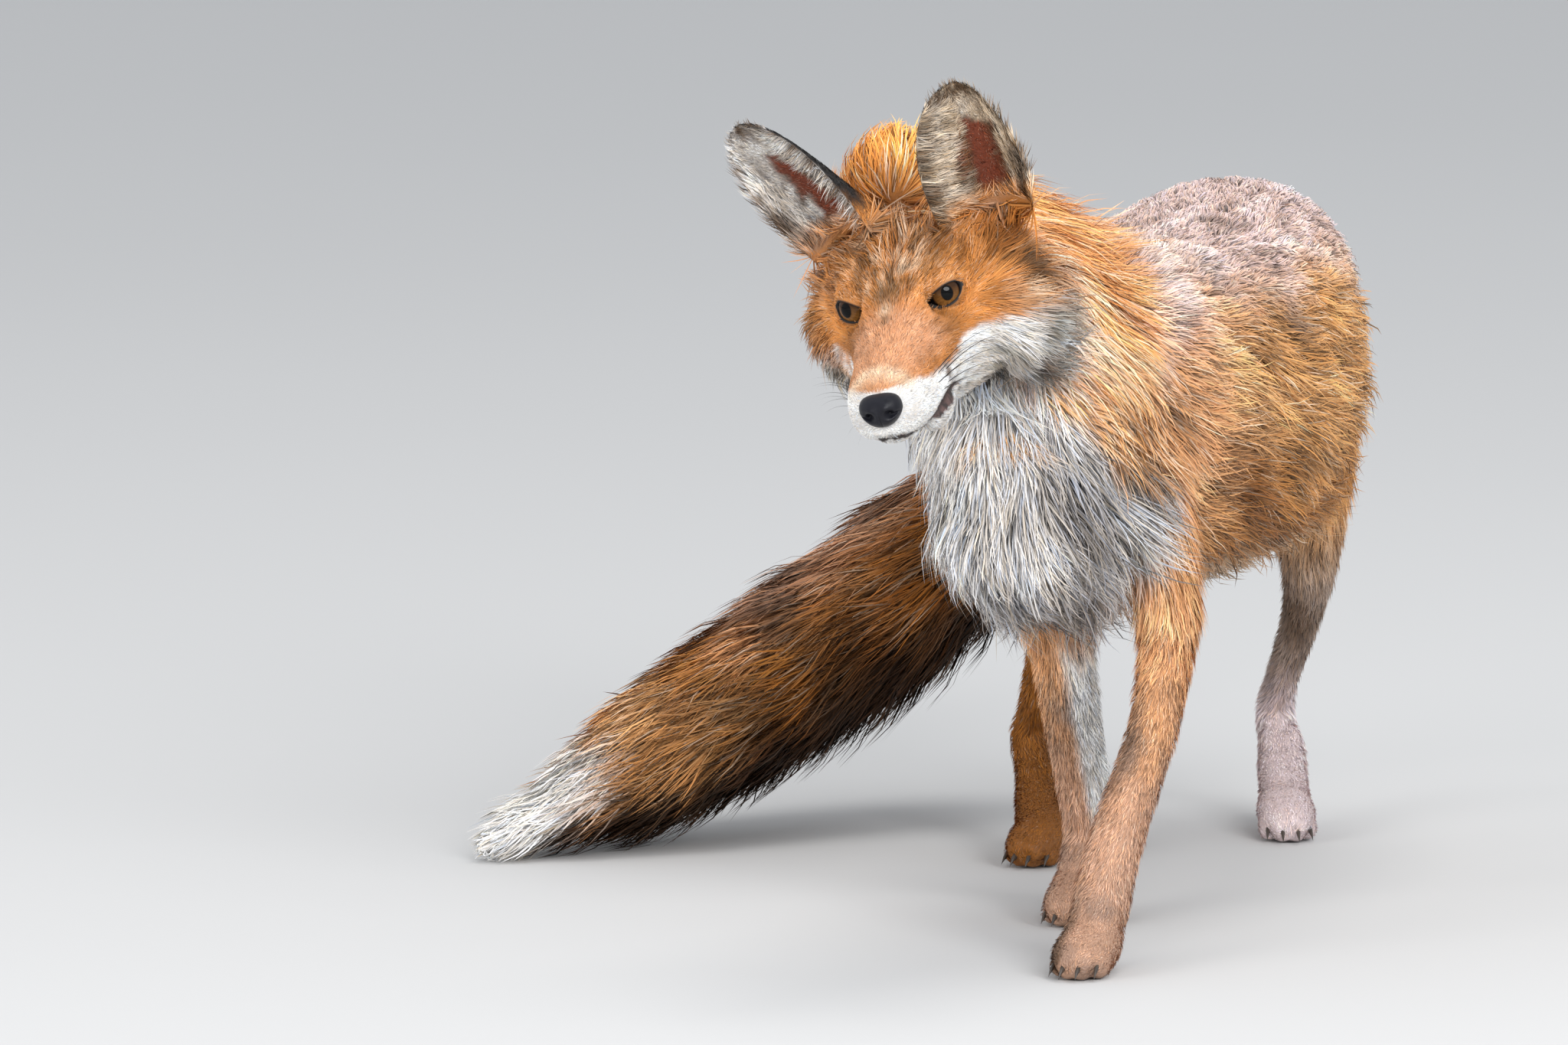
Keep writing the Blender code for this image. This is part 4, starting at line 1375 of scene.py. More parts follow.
class Roots:
    """Where the tufts stand: places, normals and every measure of the field, at random."""

    def __init__(self, field, triangles, rng):
        a, b, c = (field.points[triangles[:, k]] for k in range(3))
        area = np.linalg.norm(np.cross(b - a, c - a), axis=1) / 2
        wanted = area * field.density()[triangles].mean(axis=1)
        total = int(wanted.sum())
        steps = (np.arange(total) + rng.random(total)) * wanted.sum() / total
        chosen = np.minimum(np.searchsorted(np.cumsum(wanted), steps), len(wanted) - 1)
        self.weights = rng.dirichlet((1, 1, 1), total)
        self.corners = triangles[chosen]
        self.points = self.between(field.points)
        self.normals = unit(self.between(field.normals))
        lie = self.between(field.lie)
        self.lie = unit(lie - dot(lie, self.normals) * self.normals)
        self.depth = self.between(field.depth)
        self.length = self.between(field.length())
        self.colour = self.between(paint(field))
        self.dark, self.pale = (self.between(share) for share in field.grizzle())
        self.owner = field.owner[self.corners[:, 0]]
        self.ear = field.ear[self.corners].max(axis=1)
        self.inside = self.between(field.ear_inside)
        self.cheek = self.between(field.cheeks())
        self.tail = self.between(field.share["tail"])

    def streaks(self, width, reach, salt):
        """Noise drawn out along the lie of the hair, about -1 to 1."""
        total = np.zeros(len(self.points))
        for step in np.linspace(-1, 1, 5):
            total += noise(self.points + self.lie * (step * reach), width, salt)
        return np.clip(total / 2.6, -1, 1)

    def between(self, values):
        """The values of the triangles' corners, weighed for each root."""
        weights = self.weights if values.ndim == 1 else self.weights[..., None]
        return (values[self.corners] * weights).sum(axis=1)

    def take(self, chosen):
        """The same measures for some of the roots only."""
        part = object.__new__(Roots)
        for name, values in vars(self).items():
            setattr(part, name, values[chosen])
        return part


def turned(vectors, axes, angle):
    """Vectors turned about unit axes at right angles to them."""
    return np.cos(angle)[:, None] * vectors + np.sin(angle)[:, None] * np.cross(axes, vectors)


def tuft_shape(roots, frame, tree, rng, style):
    """The lie, tip, middle and length of every tuft."""
    count = len(roots.points)
    normals = roots.normals
    swirl = noise(roots.points, 4.5, 61) * 0.28 + noise(roots.points, 1.4, 62) * 0.22
    swirl = swirl * np.clip(roots.depth / 0.8, 0.25, 1.0)
    lie = turned(roots.lie, normals, swirl + rng.normal(0, 0.10, count))
    length = roots.length * rng.uniform(0.62, 1.18, count)
    back = ramp(normals[:, 2], 0.1, 0.6) * ramp(roots.points[:, 1], -2.0, 4.0)
    raised = 0.61 + (0.31 - 0.2 * back) * rng.uniform(-1.0, 1.0, count) - 0.08 * back
    raised = raised + 0.5 * roots.cheek
    lift = np.minimum(roots.depth * raised, (style.lift + 0.2 * roots.cheek) * length)
    lift = np.where(roots.ear > 0.5, 0.05 + 0.22 * length * roots.inside, lift)
    tips = roots.points + lie * (length * 0.93)[:, None]
    for grain, salt, pull in CLUMPS:
        centre, first, second = clumps(roots.points, grain * style.clump, salt)
        toward = centre - roots.points
        toward = toward - dot(toward, normals) * normals
        toward = toward - dot(toward, lie) * lie * 0.7
        tips += toward * (pull * style.pull)
        turn = (first - 0.5) * style.turn
        side = np.cross(normals, lie)
        tips += side * (np.sin(turn) * length * 0.6)[:, None]
        lift = lift * (0.78 + 0.44 * second)
    middle = roots.points + 0.42 * (tips - roots.points)
    tips = tips + normals * lift[:, None]
    middle = middle + normals * (lift * 1.05)[:, None]
    if roots.ear.max() < 0.5 or style is LONG:
        share, more = style.middle
        tips = laid(tips, lift * style.tip, frame, tree)
        middle = laid(middle, lift * share + more, frame, tree)
    return lie, tips, middle, length


def laid(points, heights, frame, tree):
    """The points moved to these heights above the nearest skin."""
    found = np.empty((len(points), 6))
    for k, point in enumerate(frame.to_scene(points).tolist()):
        place, normal, _, _ = tree.find_nearest(point)
        found[k, :3] = place
        found[k, 3:] = normal
    return frame.from_scene(found[:, :3]) + found[:, 3:] * heights[:, None]


def make_tufts(name, roots, place, frame, tree, rng, style):
    """One piece of the coat: tapering blades, each with its patch on the unwrap."""
    count = len(roots.points)
    lie, tips, middle, length = tuft_shape(roots, frame, tree, rng, style)
    start = roots.points - roots.normals * ROOT_DEPTH
    half = 0.5 * tuft_width(roots, style) * rng.uniform(0.7, 1.3, count)
    roll = rng.normal(0, 0.55, count)
    curl = rng.normal(0, 0.06, count) * length
    across = np.cross(roots.normals, lie)
    rows = []
    sides = []
    for t in (*style.levels, 1.0):
        centre = (1 - t) ** 2 * start.T + 2 * t * (1 - t) * middle.T + t * t * tips.T
        rows.append(centre.T + across * (curl * t * t)[:, None])
    for k, width in enumerate(style.widths):
        ahead = unit(rows[k + 1] - rows[max(k - 1, 0)])
        side = unit(np.cross(roots.normals, ahead))
        sides.append(turned(side, ahead, roll) * (half * width)[:, None])
    corners = [row + way * side for row, side in zip(rows, sides) for way in (-1, 1)]
    points = np.stack([*corners, rows[-1]], axis=1)
    points[..., 2] = np.maximum(points[..., 2], FLOOR_GAP)
    per = points.shape[1]
    triangles = (np.arange(count)[:, None, None] * per + np.array(style.faces)[None]).reshape(-1, 3)
    facing = unit(np.cross(sides[-1], rows[-1] - rows[-2]))
    outward = facing * np.sign(dot(facing, roots.normals))
    own = style.facing
    shading = unit(outward * own + roots.normals * (1 - own) + lie * 0.1)
    colour = tuft_colours(roots, style, rng)
    thing = add_triangles(f"coat_{name}", frame.to_scene(points.reshape(-1, 3)), triangles)
    paint_points(thing.data, colour.reshape(-1, 3))
    shade_smooth(thing.data)
    thing.data.normals_split_custom_set_from_vertices(np.repeat(shading, per, axis=0).tolist())
    low, high = place.min(axis=0), place.max(axis=0)
    spot = 0.005 + 0.99 * (place - low) / (high - low).max()
    patch = [(edge, t - 0.5) for t in style.levels for edge in (-0.5, 0.5)] + [(0.0, 0.5)]
    set_uv(thing.data, (spot[:, None] + np.array(patch) * PATCH).reshape(-1, 2))
    return thing


def tuft_width(roots, style):
    """Greatest width of a tuft."""
    if style is LONG:
        return 0.058 + 0.003 * roots.length + 0.02 * roots.tail
    return 0.022 + 0.018 * roots.length


def tuft_colours(roots, style, rng):
    """A colour for each corner: darker at the root, grizzled by clump and by hair."""
    count = len(roots.points)
    first = clumps(roots.points, 0.8, 90)[1]
    pale_tail = roots.tail * ramp(roots.colour.min(axis=1), 0.4, 0.7)
    plain = np.clip(roots.depth, 0.5, 1.0) * (1 - 0.75 * pale_tail)
    wide = sum(share * roots.streaks(*sizes) for share, *sizes in style.streaks)
    shade = 1 + 0.2 * (first - 0.5) + rng.normal(0, style.uneven, count)
    shade = shade + 0.52 * plain * wide
    colour = roots.colour * np.maximum(shade, 0.25)[:, None]
    colour = colour * (1 + plain[:, None] * wide[:, None] * PALER)
    colour = colour * (1 + WARMER * rng.normal(0, 1, (count, 1)))
    pick = rng.random(count)
    dark = pick < roots.dark
    pale = pick > 1 - roots.pale
    colour[dark] = colour[dark] * DARK_HAIR
    lit = PALE_HAIR * colour[pale].max(axis=1, keepdims=True)
    colour[pale] = colour[pale] * style.kept + (1 - style.kept) * lit
    root = (style.root + 0.5 * pale_tail)[:, None]
    steps = [colour * (root + (1.05 - root) * min(1.0, t * 1.6)) for t in style.levels for _ in (0, 1)]
    return np.clip(np.stack([*steps, colour * 1.06], axis=1), 0.0, 1.0)


def add_triangles(name, points, triangles):
    """An object made of triangles, each three numbers of points."""
    mesh = bpy.data.meshes.new(name)
    mesh.vertices.add(len(points))
    mesh.vertices.foreach_set("co", points.astype(np.float32).ravel())
    mesh.loops.add(triangles.size)
    mesh.loops.foreach_set("vertex_index", triangles.astype(np.int32).ravel())
    mesh.polygons.add(len(triangles))
    mesh.polygons.foreach_set("loop_start", np.arange(0, triangles.size, 3, dtype=np.int32))
    mesh.update(calc_edges=True)
    return linked(name, mesh)


def paint_points(mesh, colours, name="tint"):
    layer = mesh.color_attributes.new(name, "FLOAT_COLOR", "POINT")
    values = np.ones((len(colours), 4), np.float32)
    values[:, :3] = colours
    layer.data.foreach_set("color", values.ravel())


def set_uv(mesh, uv, name="OFBake"):
    """Gives each corner of each face its vertex's place."""
    layer = mesh.uv_layers.new(name=name)
    index = np.empty(len(mesh.loops), np.int32)
    mesh.loops.foreach_get("vertex_index", index)
    layer.data.foreach_set("uv", uv[index].astype(np.float32).ravel())


def make_coat(skin, frame, tubes, ears):
    """Every piece of the coat, and the skin's own colours."""
    points = frame.from_scene(points_of(skin.data))
    field = Field(points, normals_of(skin.data), tubes, ears, frame)
    paint_points(skin.data, np.clip(paint(field) * SKIN_SHADE, 0, 1))
    rng = np.random.default_rng(SEED)
    triangles = triangles_of(skin.data)
    body = triangles[(field.ear[triangles] == 0).all(axis=1)]
    tree = BVHTree.FromPolygons(points_of(skin.data).tolist(), body.tolist())
    roots = Roots(field, triangles, rng)
    names = piece_of(field, roots)
    place = unwrap(tubes, roots)
    made = []
    for name, (_, style) in PIECES.items():
        mine = names == name
        made.append(make_tufts(name, roots.take(mine), place[mine], frame, tree, rng, style))
    return made


# --- materials -----------------------------------------------------------------------


class Socket:
    """One output of a node, with sums written as ordinary maths."""

    def __init__(self, tree, output):
        self.tree = tree
        self.output = output

    def maths(self, operation, *inputs, clamp=False):
        settings = {"operation": operation, "use_clamp": clamp}
        return self.tree.node("ShaderNodeMath", settings, dict(enumerate(inputs)))

    def __add__(self, other):
        return self.maths("ADD", self, other)

    def __radd__(self, other):
        return self.maths("ADD", other, self)

    def __sub__(self, other):
        return self.maths("SUBTRACT", self, other)

    def __rsub__(self, other):
        return self.maths("SUBTRACT", other, self)

    def __mul__(self, other):
        return self.maths("MULTIPLY", self, other)

    def __rmul__(self, other):
        return self.maths("MULTIPLY", other, self)

    def __truediv__(self, other):
        return self.maths("DIVIDE", self, other)

    def part(self, name):
        """Another output of the same node."""
        return Socket(self.tree, self.output.node.outputs[name])


class Tree:
    """A material's node tree, with one method that makes any node."""

    def __init__(self, name):
        self.material = bpy.data.materials.new(name)
        self.material.use_nodes = True
        self.nodes = self.material.node_tree.nodes
        self.links = self.material.node_tree.links
        self.surface = self.nodes["Principled BSDF"]

    def node(self, kind, settings=None, inputs=None, output=0):
        made = self.nodes.new(kind)
        for key, value in (settings or {}).items():
            setattr(made, key, value)
        for key, value in (inputs or {}).items():
            self.feed(made.inputs[key], value)
        return Socket(self, made.outputs[output])

    def feed(self, target, value):
        if isinstance(value, Socket):
            self.links.new(value.output, target)
        else:
            target.default_value = value

    def finish(self, **inputs):
        """Feeds the surface; names use _ for a space."""
        for key, value in inputs.items():
            self.feed(self.surface.inputs[key.replace("_", " ")], value)
        return self.material

    def places(self):
        return self.node("ShaderNodeTexCoord", output="Object")

    def noise(self, scale, detail=3.0, vector=None, rough=0.5):
        inputs = {"Scale": scale, "Detail": detail, "Roughness": rough}
        inputs["Vector"] = vector or self.places()
        return self.node("ShaderNodeTexNoise", None, inputs, output="Fac")

    def step(self, value, low, high, to_low=0.0, to_high=1.0):
        inputs = {"Value": value, "From Min": low, "From Max": high, "To Min": to_low, "To Max": to_high}
        return self.node("ShaderNodeMapRange", {"clamp": True}, inputs)

    def mix(self, share, first, second, how="MIX"):
        """The first colour, or the second where the share is 1."""
        made = self.nodes.new("ShaderNodeMix")
        made.data_type = "RGBA"
        made.blend_type = how
        self.feed(made.inputs["Factor"], share)
        self.feed(made.inputs[6], first)
        self.feed(made.inputs[7], second)
        return Socket(self, made.outputs[2])

    def bump(self, height, strength, distance):
        inputs = {"Height": height, "Strength": strength, "Distance": distance}
        return self.node("ShaderNodeBump", None, inputs)

    def tint(self, name="tint"):
        return self.node("ShaderNodeAttribute", {"attribute_name": name}, output="Color")


def rgb(*values):
    return (*values, 1.0)


def grey(value):
    return (value, value, value, 1.0)


def coat_material():
    tree = Tree("coat")
    fine = tree.noise(900.0, 2.0)
    colour = tree.mix(0.35, tree.tint(), tree.mix(fine, grey(0.55), grey(1.0)), "MULTIPLY")
    rough = tree.step(fine, 0.3, 0.7, 0.5, 0.68)
    return tree.finish(Base_Color=colour, Roughness=rough, Specular_IOR_Level=0.22)


def skin_material():
    tree = Tree("skin")
    fine = tree.noise(700.0, 3.0)
    wide = tree.noise(140.0, 2.0)
    colour = tree.mix(0.5, tree.tint(), tree.mix(fine, grey(0.45), grey(1.0)), "MULTIPLY")
    bump = tree.bump(fine + 0.6 * wide, 0.5, 0.0012)
    return tree.finish(Base_Color=colour, Roughness=tree.step(fine, 0.2, 0.8, 0.62, 0.85), Normal=bump)


def eye_material():
    """Amber iris round a dark pupil; the eye's own map holds the disc seen from in front."""
    tree = Tree("eye")
    place = tree.node("ShaderNodeUVMap", {"uv_map": "disc"})
    apart = tree.node("ShaderNodeSeparateXYZ", None, {0: place})
    across = apart - 0.5
    upward = apart.part("Y") - 0.5
    square = across * across + upward * upward
    radius = square.maths("POWER", square, 0.5)
    oval = across * across * 1.5 + upward * upward
    slit = oval.maths("POWER", oval, 0.5)
    angle = across.maths("ARCTAN2", upward, across)
    polar = tree.node("ShaderNodeCombineXYZ", None, {0: angle * 9.0, 1: radius * 9.0})
    rays = tree.noise(1.0, 2.0, polar)
    amber = tree.mix(rays, rgb(0.06, 0.022, 0.005), rgb(0.27, 0.12, 0.03))
    # The iris darkens towards its top: a painted shadow of the upper lid.
    low = tree.step(upward, 0.12, -0.22)
    amber = tree.mix(low, rgb(0.035, 0.015, 0.006), amber)
    colour = tree.mix(tree.step(radius, 0.34, 0.385), amber, rgb(0.005, 0.003, 0.003))
    colour = tree.mix(tree.step(slit, 0.19, 0.225), rgb(0.001, 0.001, 0.001), colour)
    tree.finish(Coat_Weight=0.5, Coat_Roughness=0.03, Coat_IOR=1.37)
    return tree.finish(Base_Color=colour, Roughness=0.4, Specular_IOR_Level=0.0)


def nose_material():
    """Black, finely grained and slightly moist."""
    tree = Tree("nose")
    grain = {"Vector": tree.places(), "Scale": 2600.0}
    cells = tree.node("ShaderNodeTexVoronoi", None, grain, output="Distance")
    wide = tree.noise(260.0, 2.0)
    colour = tree.mix(wide, rgb(0.004, 0.004, 0.006), rgb(0.012, 0.012, 0.017))
    bump = tree.bump(cells + 0.3 * wide, 0.25, 0.0003)
    rough = tree.step(wide, 0.3, 0.7, 0.34, 0.46)
    return tree.finish(Base_Color=colour, Roughness=rough, Specular_IOR_Level=0.22, Normal=bump)


def horn_material(name, dark, pale, roughness):
    """Claws and whiskers: dark horn, a little paler in streaks."""
    tree = Tree(name)
    streak = tree.noise(600.0, 2.0)
    colour = tree.mix(streak, dark, pale)
    rough = tree.step(streak, 0.2, 0.8, roughness, roughness + 0.15)
    return tree.finish(Base_Color=colour, Roughness=rough)


def floor_material():
    tree = Tree("floor")
    wide = tree.noise(0.6, 2.0)
    return tree.finish(Base_Color=tree.mix(wide, grey(0.50), grey(0.53)), Roughness=0.8)


# --- eyes, nose, claws, whiskers -------------------------------------------------------


def shape_from(name, build):
    """A linked object from a function that fills a bmesh, its faces turned outwards."""
    bm = bmesh.new()
    build(bm)
    bmesh.ops.recalc_face_normals(bm, faces=bm.faces)
    mesh = bpy.data.meshes.new(name)
    bm.to_mesh(mesh)
    bm.free()
    thing = linked(name, mesh)
    shade_smooth(mesh)
    return thing


def make_eye(side, frame):
    """An eyeball with a bulging front, and a map of its disc for the iris."""
    centre, outer, up, gaze = eye_axes(side, frame)
    tilt = np.pi * (np.arange(40) + 0.02) / 40.04
    turn = math.tau * np.arange(64) / 64
    size = EYE[3] * HEAD_SCALE
    radius = size * (1 + 0.045 * hump(tilt, 0.0, 0.55))
    flat = np.cos(turn)[:, None] * outer + np.sin(turn)[:, None] * up
    spokes = np.sin(tilt)[:, None, None] * flat[None] + np.cos(tilt)[:, None, None] * gaze
    rings = centre + radius[:, None, None] * spokes
    name = "eye_ball_left" if side > 0 else "eye_ball_right"
    thing = shape_from(name, lambda bm: add_rings(bm, frame.to_scene(rings)))
    away = frame.from_scene(points_of(thing.data)) - centre
    set_uv(thing.data, 0.5 + 0.5 * np.stack([away @ outer, away @ up], axis=1) / size, "disc")
    return thing


def make_nose(frame):
    """The nose pad, with comma-shaped nostrils and a groove down its middle."""

    def build(bm):
        bmesh.ops.create_icosphere(bm, subdivisions=6, radius=1.0)
        for vert in bm.verts:
            x, y, z = vert.co
            # A squarer outline from in front than an oval's.
            reach = math.hypot(x, z)
            if reach > 1e-6:
                square = (abs(x / reach) ** 2.7 + abs(z / reach) ** 2.7) ** (1 / 2.7)
                x, z = x / square, z / square
            x, y, z = NOSE[3] * x, NOSE[4] * y, NOSE[5] * z
            front = max(0.0, -y / NOSE[4])
            wide = abs(x)
            y -= 0.10 * math.exp(-((wide - 0.42) ** 2) / 0.05 - (z - 0.15) ** 2 / 0.16) * front
            hole = math.exp(-(((wide - 0.48) / 0.19) ** 2) - ((z + 0.10) / 0.19) ** 2)
            over = z + 0.17 - 0.30 * (wide - 0.78)
            slit = math.exp(-(((wide - 0.78) / 0.22) ** 2) - (over / 0.09) ** 2)
            y += (0.55 * hole + 0.34 * slit) * front
            groove = math.exp(-((x / 0.06) ** 2)) * min(1.0, max(0.0, 0.25 - z))
            y += 0.14 * groove * front
            # Narrower below, flatter on top.
            x *= 1 - 0.36 * max(0.0, -z / NOSE[5]) ** 1.3
            z *= 0.94 if z > 0 else 1.0
            local = np.array([NOSE[0] + x, NOSE[1] + y, NOSE[2] + z])
            vert.co = frame.to_scene(frame.from_head(local))

    return shape_from("nose_pad", build)


def repeated(name, spots, piece, material):
    """The piece at each spot (place, Euler turn, size), made by a node group."""
    mesh = bpy.data.meshes.new(name)
    mesh.from_pydata([tuple(s[0]) for s in spots], [], [])
    turn = mesh.attributes.new("turn", "FLOAT_VECTOR", "POINT")
    turn.data.foreach_set("vector", np.array([s[1] for s in spots], np.float32).ravel())
    size = mesh.attributes.new("size", "FLOAT", "POINT")
    size.data.foreach_set("value", np.array([s[2] for s in spots], np.float32))
    thing = linked(name, mesh)
    group = repeat_group()
    modifier = thing.modifiers.new("repeat", "NODES")
    modifier.node_group = group
    given = {"Piece": piece, "Finish": material}
    for item in group.interface.items_tree:
        if item.name in given:
            modifier[item.identifier] = given[item.name]
    applied(thing)
    for left in ("turn", "size"):
        if left in thing.data.attributes:
            thing.data.attributes.remove(thing.data.attributes[left])
    bpy.data.objects.remove(piece)
    thing.data.materials.clear()
    thing.data.materials.append(material)
    thing.data.polygons.foreach_set("material_index", np.zeros(len(thing.data.polygons), np.int32))
    shade_smooth(thing.data)
    return thing


def repeat_group():
    """A node group that sets one piece on every point, turned and sized by attributes."""
    group = bpy.data.node_groups.new("repeat", "GeometryNodeTree")
    for name, kind in (("Geometry", "Geometry"), ("Piece", "Object"), ("Finish", "Material")):
        group.interface.new_socket(name, in_out="INPUT", socket_type=f"NodeSocket{kind}")
    group.interface.new_socket("Geometry", in_out="OUTPUT", socket_type="NodeSocketGeometry")

    def add(kind, **settings):
        made = group.nodes.new(kind)
        for key, value in settings.items():
            setattr(made, key, value)
        return made

    start = add("NodeGroupInput")
    end = add("NodeGroupOutput")
    piece = add("GeometryNodeObjectInfo")
    turn = add("GeometryNodeInputNamedAttribute", data_type="FLOAT_VECTOR")
    turn.inputs["Name"].default_value = "turn"
    size = add("GeometryNodeInputNamedAttribute", data_type="FLOAT")
    size.inputs["Name"].default_value = "size"
    rotation = add("FunctionNodeEulerToRotation")
    place = add("GeometryNodeInstanceOnPoints")
    real = add("GeometryNodeRealizeInstances")
    finish = add("GeometryNodeSetMaterial")
    for source, output, target, entry in (
        (start, "Geometry", place, "Points"),
        (start, "Piece", piece, "Object"),
        (piece, "Geometry", place, "Instance"),
        (turn, "Attribute", rotation, "Euler"),
        (rotation, "Rotation", place, "Rotation"),
        (size, "Attribute", place, "Scale"),
        (place, "Instances", real, "Geometry"),
        (real, "Geometry", finish, "Geometry"),
        (start, "Finish", finish, "Material"),
        (finish, "Geometry", end, "Geometry"),
    ):
        group.links.new(source.outputs[output], target.inputs[entry])
    return group


def bent_cone(name, length, radius, bend, rows=14, sides=8, flat=1.0, power=1.0):
    """A cone from the origin up +Z that bends towards -Y, in metres."""

    def build(bm):
        rings = []
        for t in np.linspace(0, 1, rows):
            thick = radius * max(1 - t**power, 0.04)
            ring = []
            for i in range(sides):
                angle = math.tau * i / sides
                x = flat * thick * math.cos(angle)
                y = thick * math.sin(angle) - bend * t * t
                ring.append((x, y, length * t * (1 - 0.25 * bend * t)))
            rings.append(ring)
        add_rings(bm, np.array(rings))

    return shape_from(name, build)


def turn_to(direction, up=(0, 0, 1)):
    """Euler angles that carry +Z to the direction, with +Y as near `up` as can be."""
    ahead = Vector(direction).normalized()
    rise = (Vector(up) - ahead * ahead.dot(Vector(up))).normalized()
    side = rise.cross(ahead)
    return tuple(Matrix((side, rise, ahead)).transposed().to_euler())


def make_claws(frame, material):
    """A claw on every toe."""
    spots = []
    for x, y, turn in PAWS.values():
        ahead, aside = paw_axes(turn)
        for place, reach, spread in TOES:
            heading = unit(ahead - aside * spread + np.array([0, 0, -0.12]))
            tip = np.array([x, y, 0.74]) - aside * place + ahead * (reach - 0.12)
            spots.append((frame.to_scene(tip), turn_to(heading), CLAW_LENGTH * CM))
    claw = bent_cone("claw", 1.0, 0.2, 0.42, flat=0.7, power=1.6)
    return repeated("claws", spots, claw, material)


# Whisker roots on the left side: place, direction, length in centimetres, in the head's frame.
WHISKERS = [
    ((2.05, -5.3, -2.75), (0.62, 1.0, 0.62), 4.6),
    ((2.10, -4.9, -2.90), (0.58, 1.0, 0.52), 5.8),
    ((2.15, -4.4, -2.75), (0.60, 1.0, 0.56), 6.2),
    ((2.10, -5.2, -3.20), (0.62, 1.0, 0.44), 5.4),
    ((2.15, -4.6, -3.25), (0.60, 1.0, 0.40), 6.6),
    ((2.20, -4.0, -3.05), (0.58, 1.0, 0.44), 7.0),
    ((2.15, -4.9, -3.55), (0.66, 1.0, 0.26), 5.2),
    ((2.20, -4.2, -3.50), (0.62, 1.0, 0.28), 6.2),
    ((1.90, -6.2, -3.30), (0.80, 0.5, 0.10), 2.2),
    ((1.85, -6.4, -3.70), (0.80, 0.5, -0.35), 2.0),
    ((1.60, -6.9, -4.00), (0.70, 0.3, -0.70), 1.6),
    ((2.30, 0.9, 1.35), (0.35, 0.2, 0.9), 2.2),
    ((2.80, 1.0, 1.15), (0.6, 0.3, 0.8), 1.8),
]


def make_whiskers(frame, material):
    """Whiskers on both sides of the muzzle and over the eyes."""
    spots = []
    for side in (1, -1):
        for (x, y, z), direction, length in WHISKERS:
            root = frame.from_head(np.array([side * (x - 0.3), y, z]))
            # Those of the right cheek stand out further and are shorter.
            spread = direction[0] + (0.0 if side > 0 else 0.25)
            heading = frame.head_direction(np.array([side * spread, *direction[1:]]))
            size = length if side > 0 else 0.62 * length
            spots.append((frame.to_scene(root), turn_to(heading), size * CM))
    hair = bent_cone("whisker", 1.0, 0.0046, 0.34, rows=18, sides=5)
    return repeated("whiskers", spots, hair, material)


def add_lids(skin, frame):
    """Joins both rings of lid to the skin."""
    triangles = triangles_of(skin.data)
    tree = BVHTree.FromPolygons(points_of(skin.data).tolist(), triangles.tolist())
    press_eyes(skin.data, frame)
    bm = bmesh.new()
    bm.from_mesh(skin.data)
    for points, faces in make_lids(frame, tree):
        verts = [bm.verts.new(p) for p in frame.to_scene(points)]
        for face in faces:
            bm.faces.new([verts[i] for i in face])
    bm.to_mesh(skin.data)
    bm.free()


# --- stage and camera -------------------------------------------------------------------


FLOOR_RADIUS = 16.0
# Lamps: place, size, power, colour, and whether their glints show on glossy parts.
LAMPS = {
    "key": ((2.3, -3.0, 2.1), (3.0, 1.8), 175.0, (0.98, 0.98, 0.98), True),
    "fill": ((-2.4, -3.6, 1.1), (2.4, 2.4), 110.0, (1.0, 0.98, 0.96), False),
    "top": ((0.3, 0.4, 3.6), (1.6, 1.6), 40.0, (1.0, 0.98, 0.95), False),
}


def make_stage():
    """A pale floor, even light from all round and three soft lamps."""
    bpy.context.scene.view_settings.view_transform = "Standard"

    def build(bm):
        bmesh.ops.create_circle(bm, cap_ends=True, segments=96, radius=FLOOR_RADIUS)

    floor = shape_from("floor", build)
    floor.data.materials.append(floor_material())
    world = bpy.data.worlds.new("studio")
    bpy.context.scene.world = world
    world.use_nodes = True
    light = world.node_tree.nodes["Background"].inputs
    light["Color"].default_value = rgb(0.90, 0.93, 0.97)
    light["Strength"].default_value = 0.85
    for name, lamp in LAMPS.items():
        add_light(name, *lamp)


def add_light(name, place, size, power, colour, glints):
    """An oval lamp that points at the animal."""
    light = bpy.data.lights.new(name, "AREA")
    light.shape = "ELLIPSE"
    light.size, light.size_y = size
    light.energy = power
    light.color = colour
    lamp = linked(name, light)
    lamp.location = place
    lamp.visible_glossy = glints
    lamp.rotation_mode = "QUATERNION"
    lamp.rotation_quaternion = (Vector((0, 0, 0.2)) - Vector(place)).to_track_quat("-Z", "Y")


CAMERA_TURN, CAMERA_RISE = 14.0, 7.5  # degrees round the animal and above the floor
CAMERA_AIM = (-12.831, -14.726, 21.905)  # in the animal's centimetres
CAMERA_AWAY = 8.0  # metres
CAMERA_LENS = 372.66  # millimetres
SENSOR_WIDTH = 36.0  # millimetres


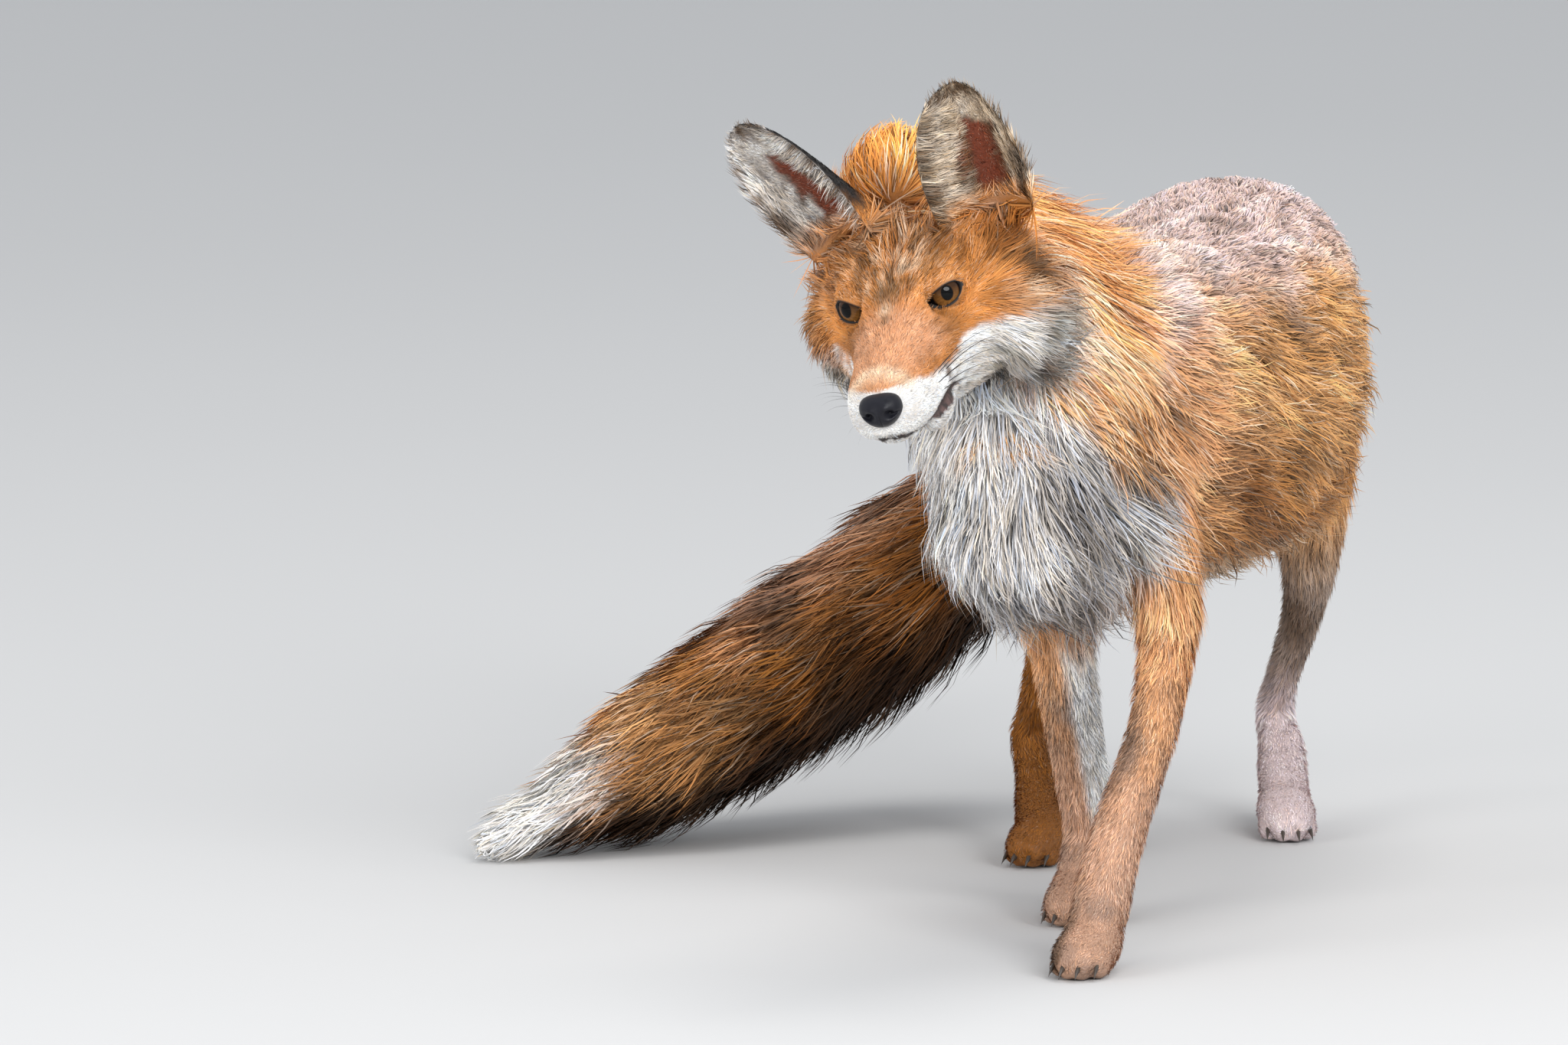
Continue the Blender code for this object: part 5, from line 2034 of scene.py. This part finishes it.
def make_camera(frame):
    """A long lens from in front, a little above the animal and to its left."""
    turn, rise = math.radians(CAMERA_TURN), math.radians(CAMERA_RISE)
    back = Vector((math.sin(turn) * math.cos(rise), -math.cos(turn) * math.cos(rise), math.sin(rise)))
    camera = linked("camera", bpy.data.cameras.new("camera"))
    camera.data.lens = CAMERA_LENS
    camera.data.sensor_width = SENSOR_WIDTH
    camera.data.clip_end = 100.0
    camera.location = Vector(frame.to_scene(CAMERA_AIM)) + back * CAMERA_AWAY
    camera.rotation_mode = "QUATERNION"
    camera.rotation_quaternion = back.to_track_quat("Z", "Y")
    bpy.context.scene.camera = camera


def attach(kit, skin, eyes, nose, claws, whiskers, coat):
    """Sets each piece to ride on the body's root, and hides the nodes that the pieces replace."""
    for piece in (skin, claws, whiskers, nose, *eyes, *coat):
        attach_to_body(piece, "root")
    own = {"eye_left", "eye_right", "nose"}
    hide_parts(*sorted(set(kit["nodes"]) - own))
    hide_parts("eye_left")
    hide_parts("eye_right")
    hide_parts("nose")


def main():
    """Builds the animal, sets what each piece rides on, and sets the stage."""
    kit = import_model()
    frame = Frame()
    tubes = make_tubes(frame)
    ears = {side: Ear(side, frame) for side in EARS}
    skin = make_skin(frame, tubes)
    join_ears(skin, frame, ears)
    add_lids(skin, frame)
    shade_smooth(skin.data)
    coat = make_coat(skin, frame, tubes, ears)
    horn = horn_material("horn", rgb(0.02, 0.016, 0.013), rgb(0.07, 0.055, 0.045), 0.3)
    bristle = horn_material("bristle", rgb(0.008, 0.007, 0.006), rgb(0.03, 0.025, 0.02), 0.35)
    claws = make_claws(frame, horn)
    whiskers = make_whiskers(frame, bristle)
    nose = make_nose(frame)
    eyes = [make_eye(side, frame) for side in (1, -1)]
    skin.data.materials.clear()
    skin.data.materials.append(skin_material())
    nose.data.materials.append(nose_material())
    for pieces, material in ((coat, coat_material()), (eyes, eye_material())):
        for piece in pieces:
            piece.data.materials.append(material)
    attach(kit, skin, eyes, nose, claws, whiskers, coat)
    make_stage()
    make_camera(frame)


main()
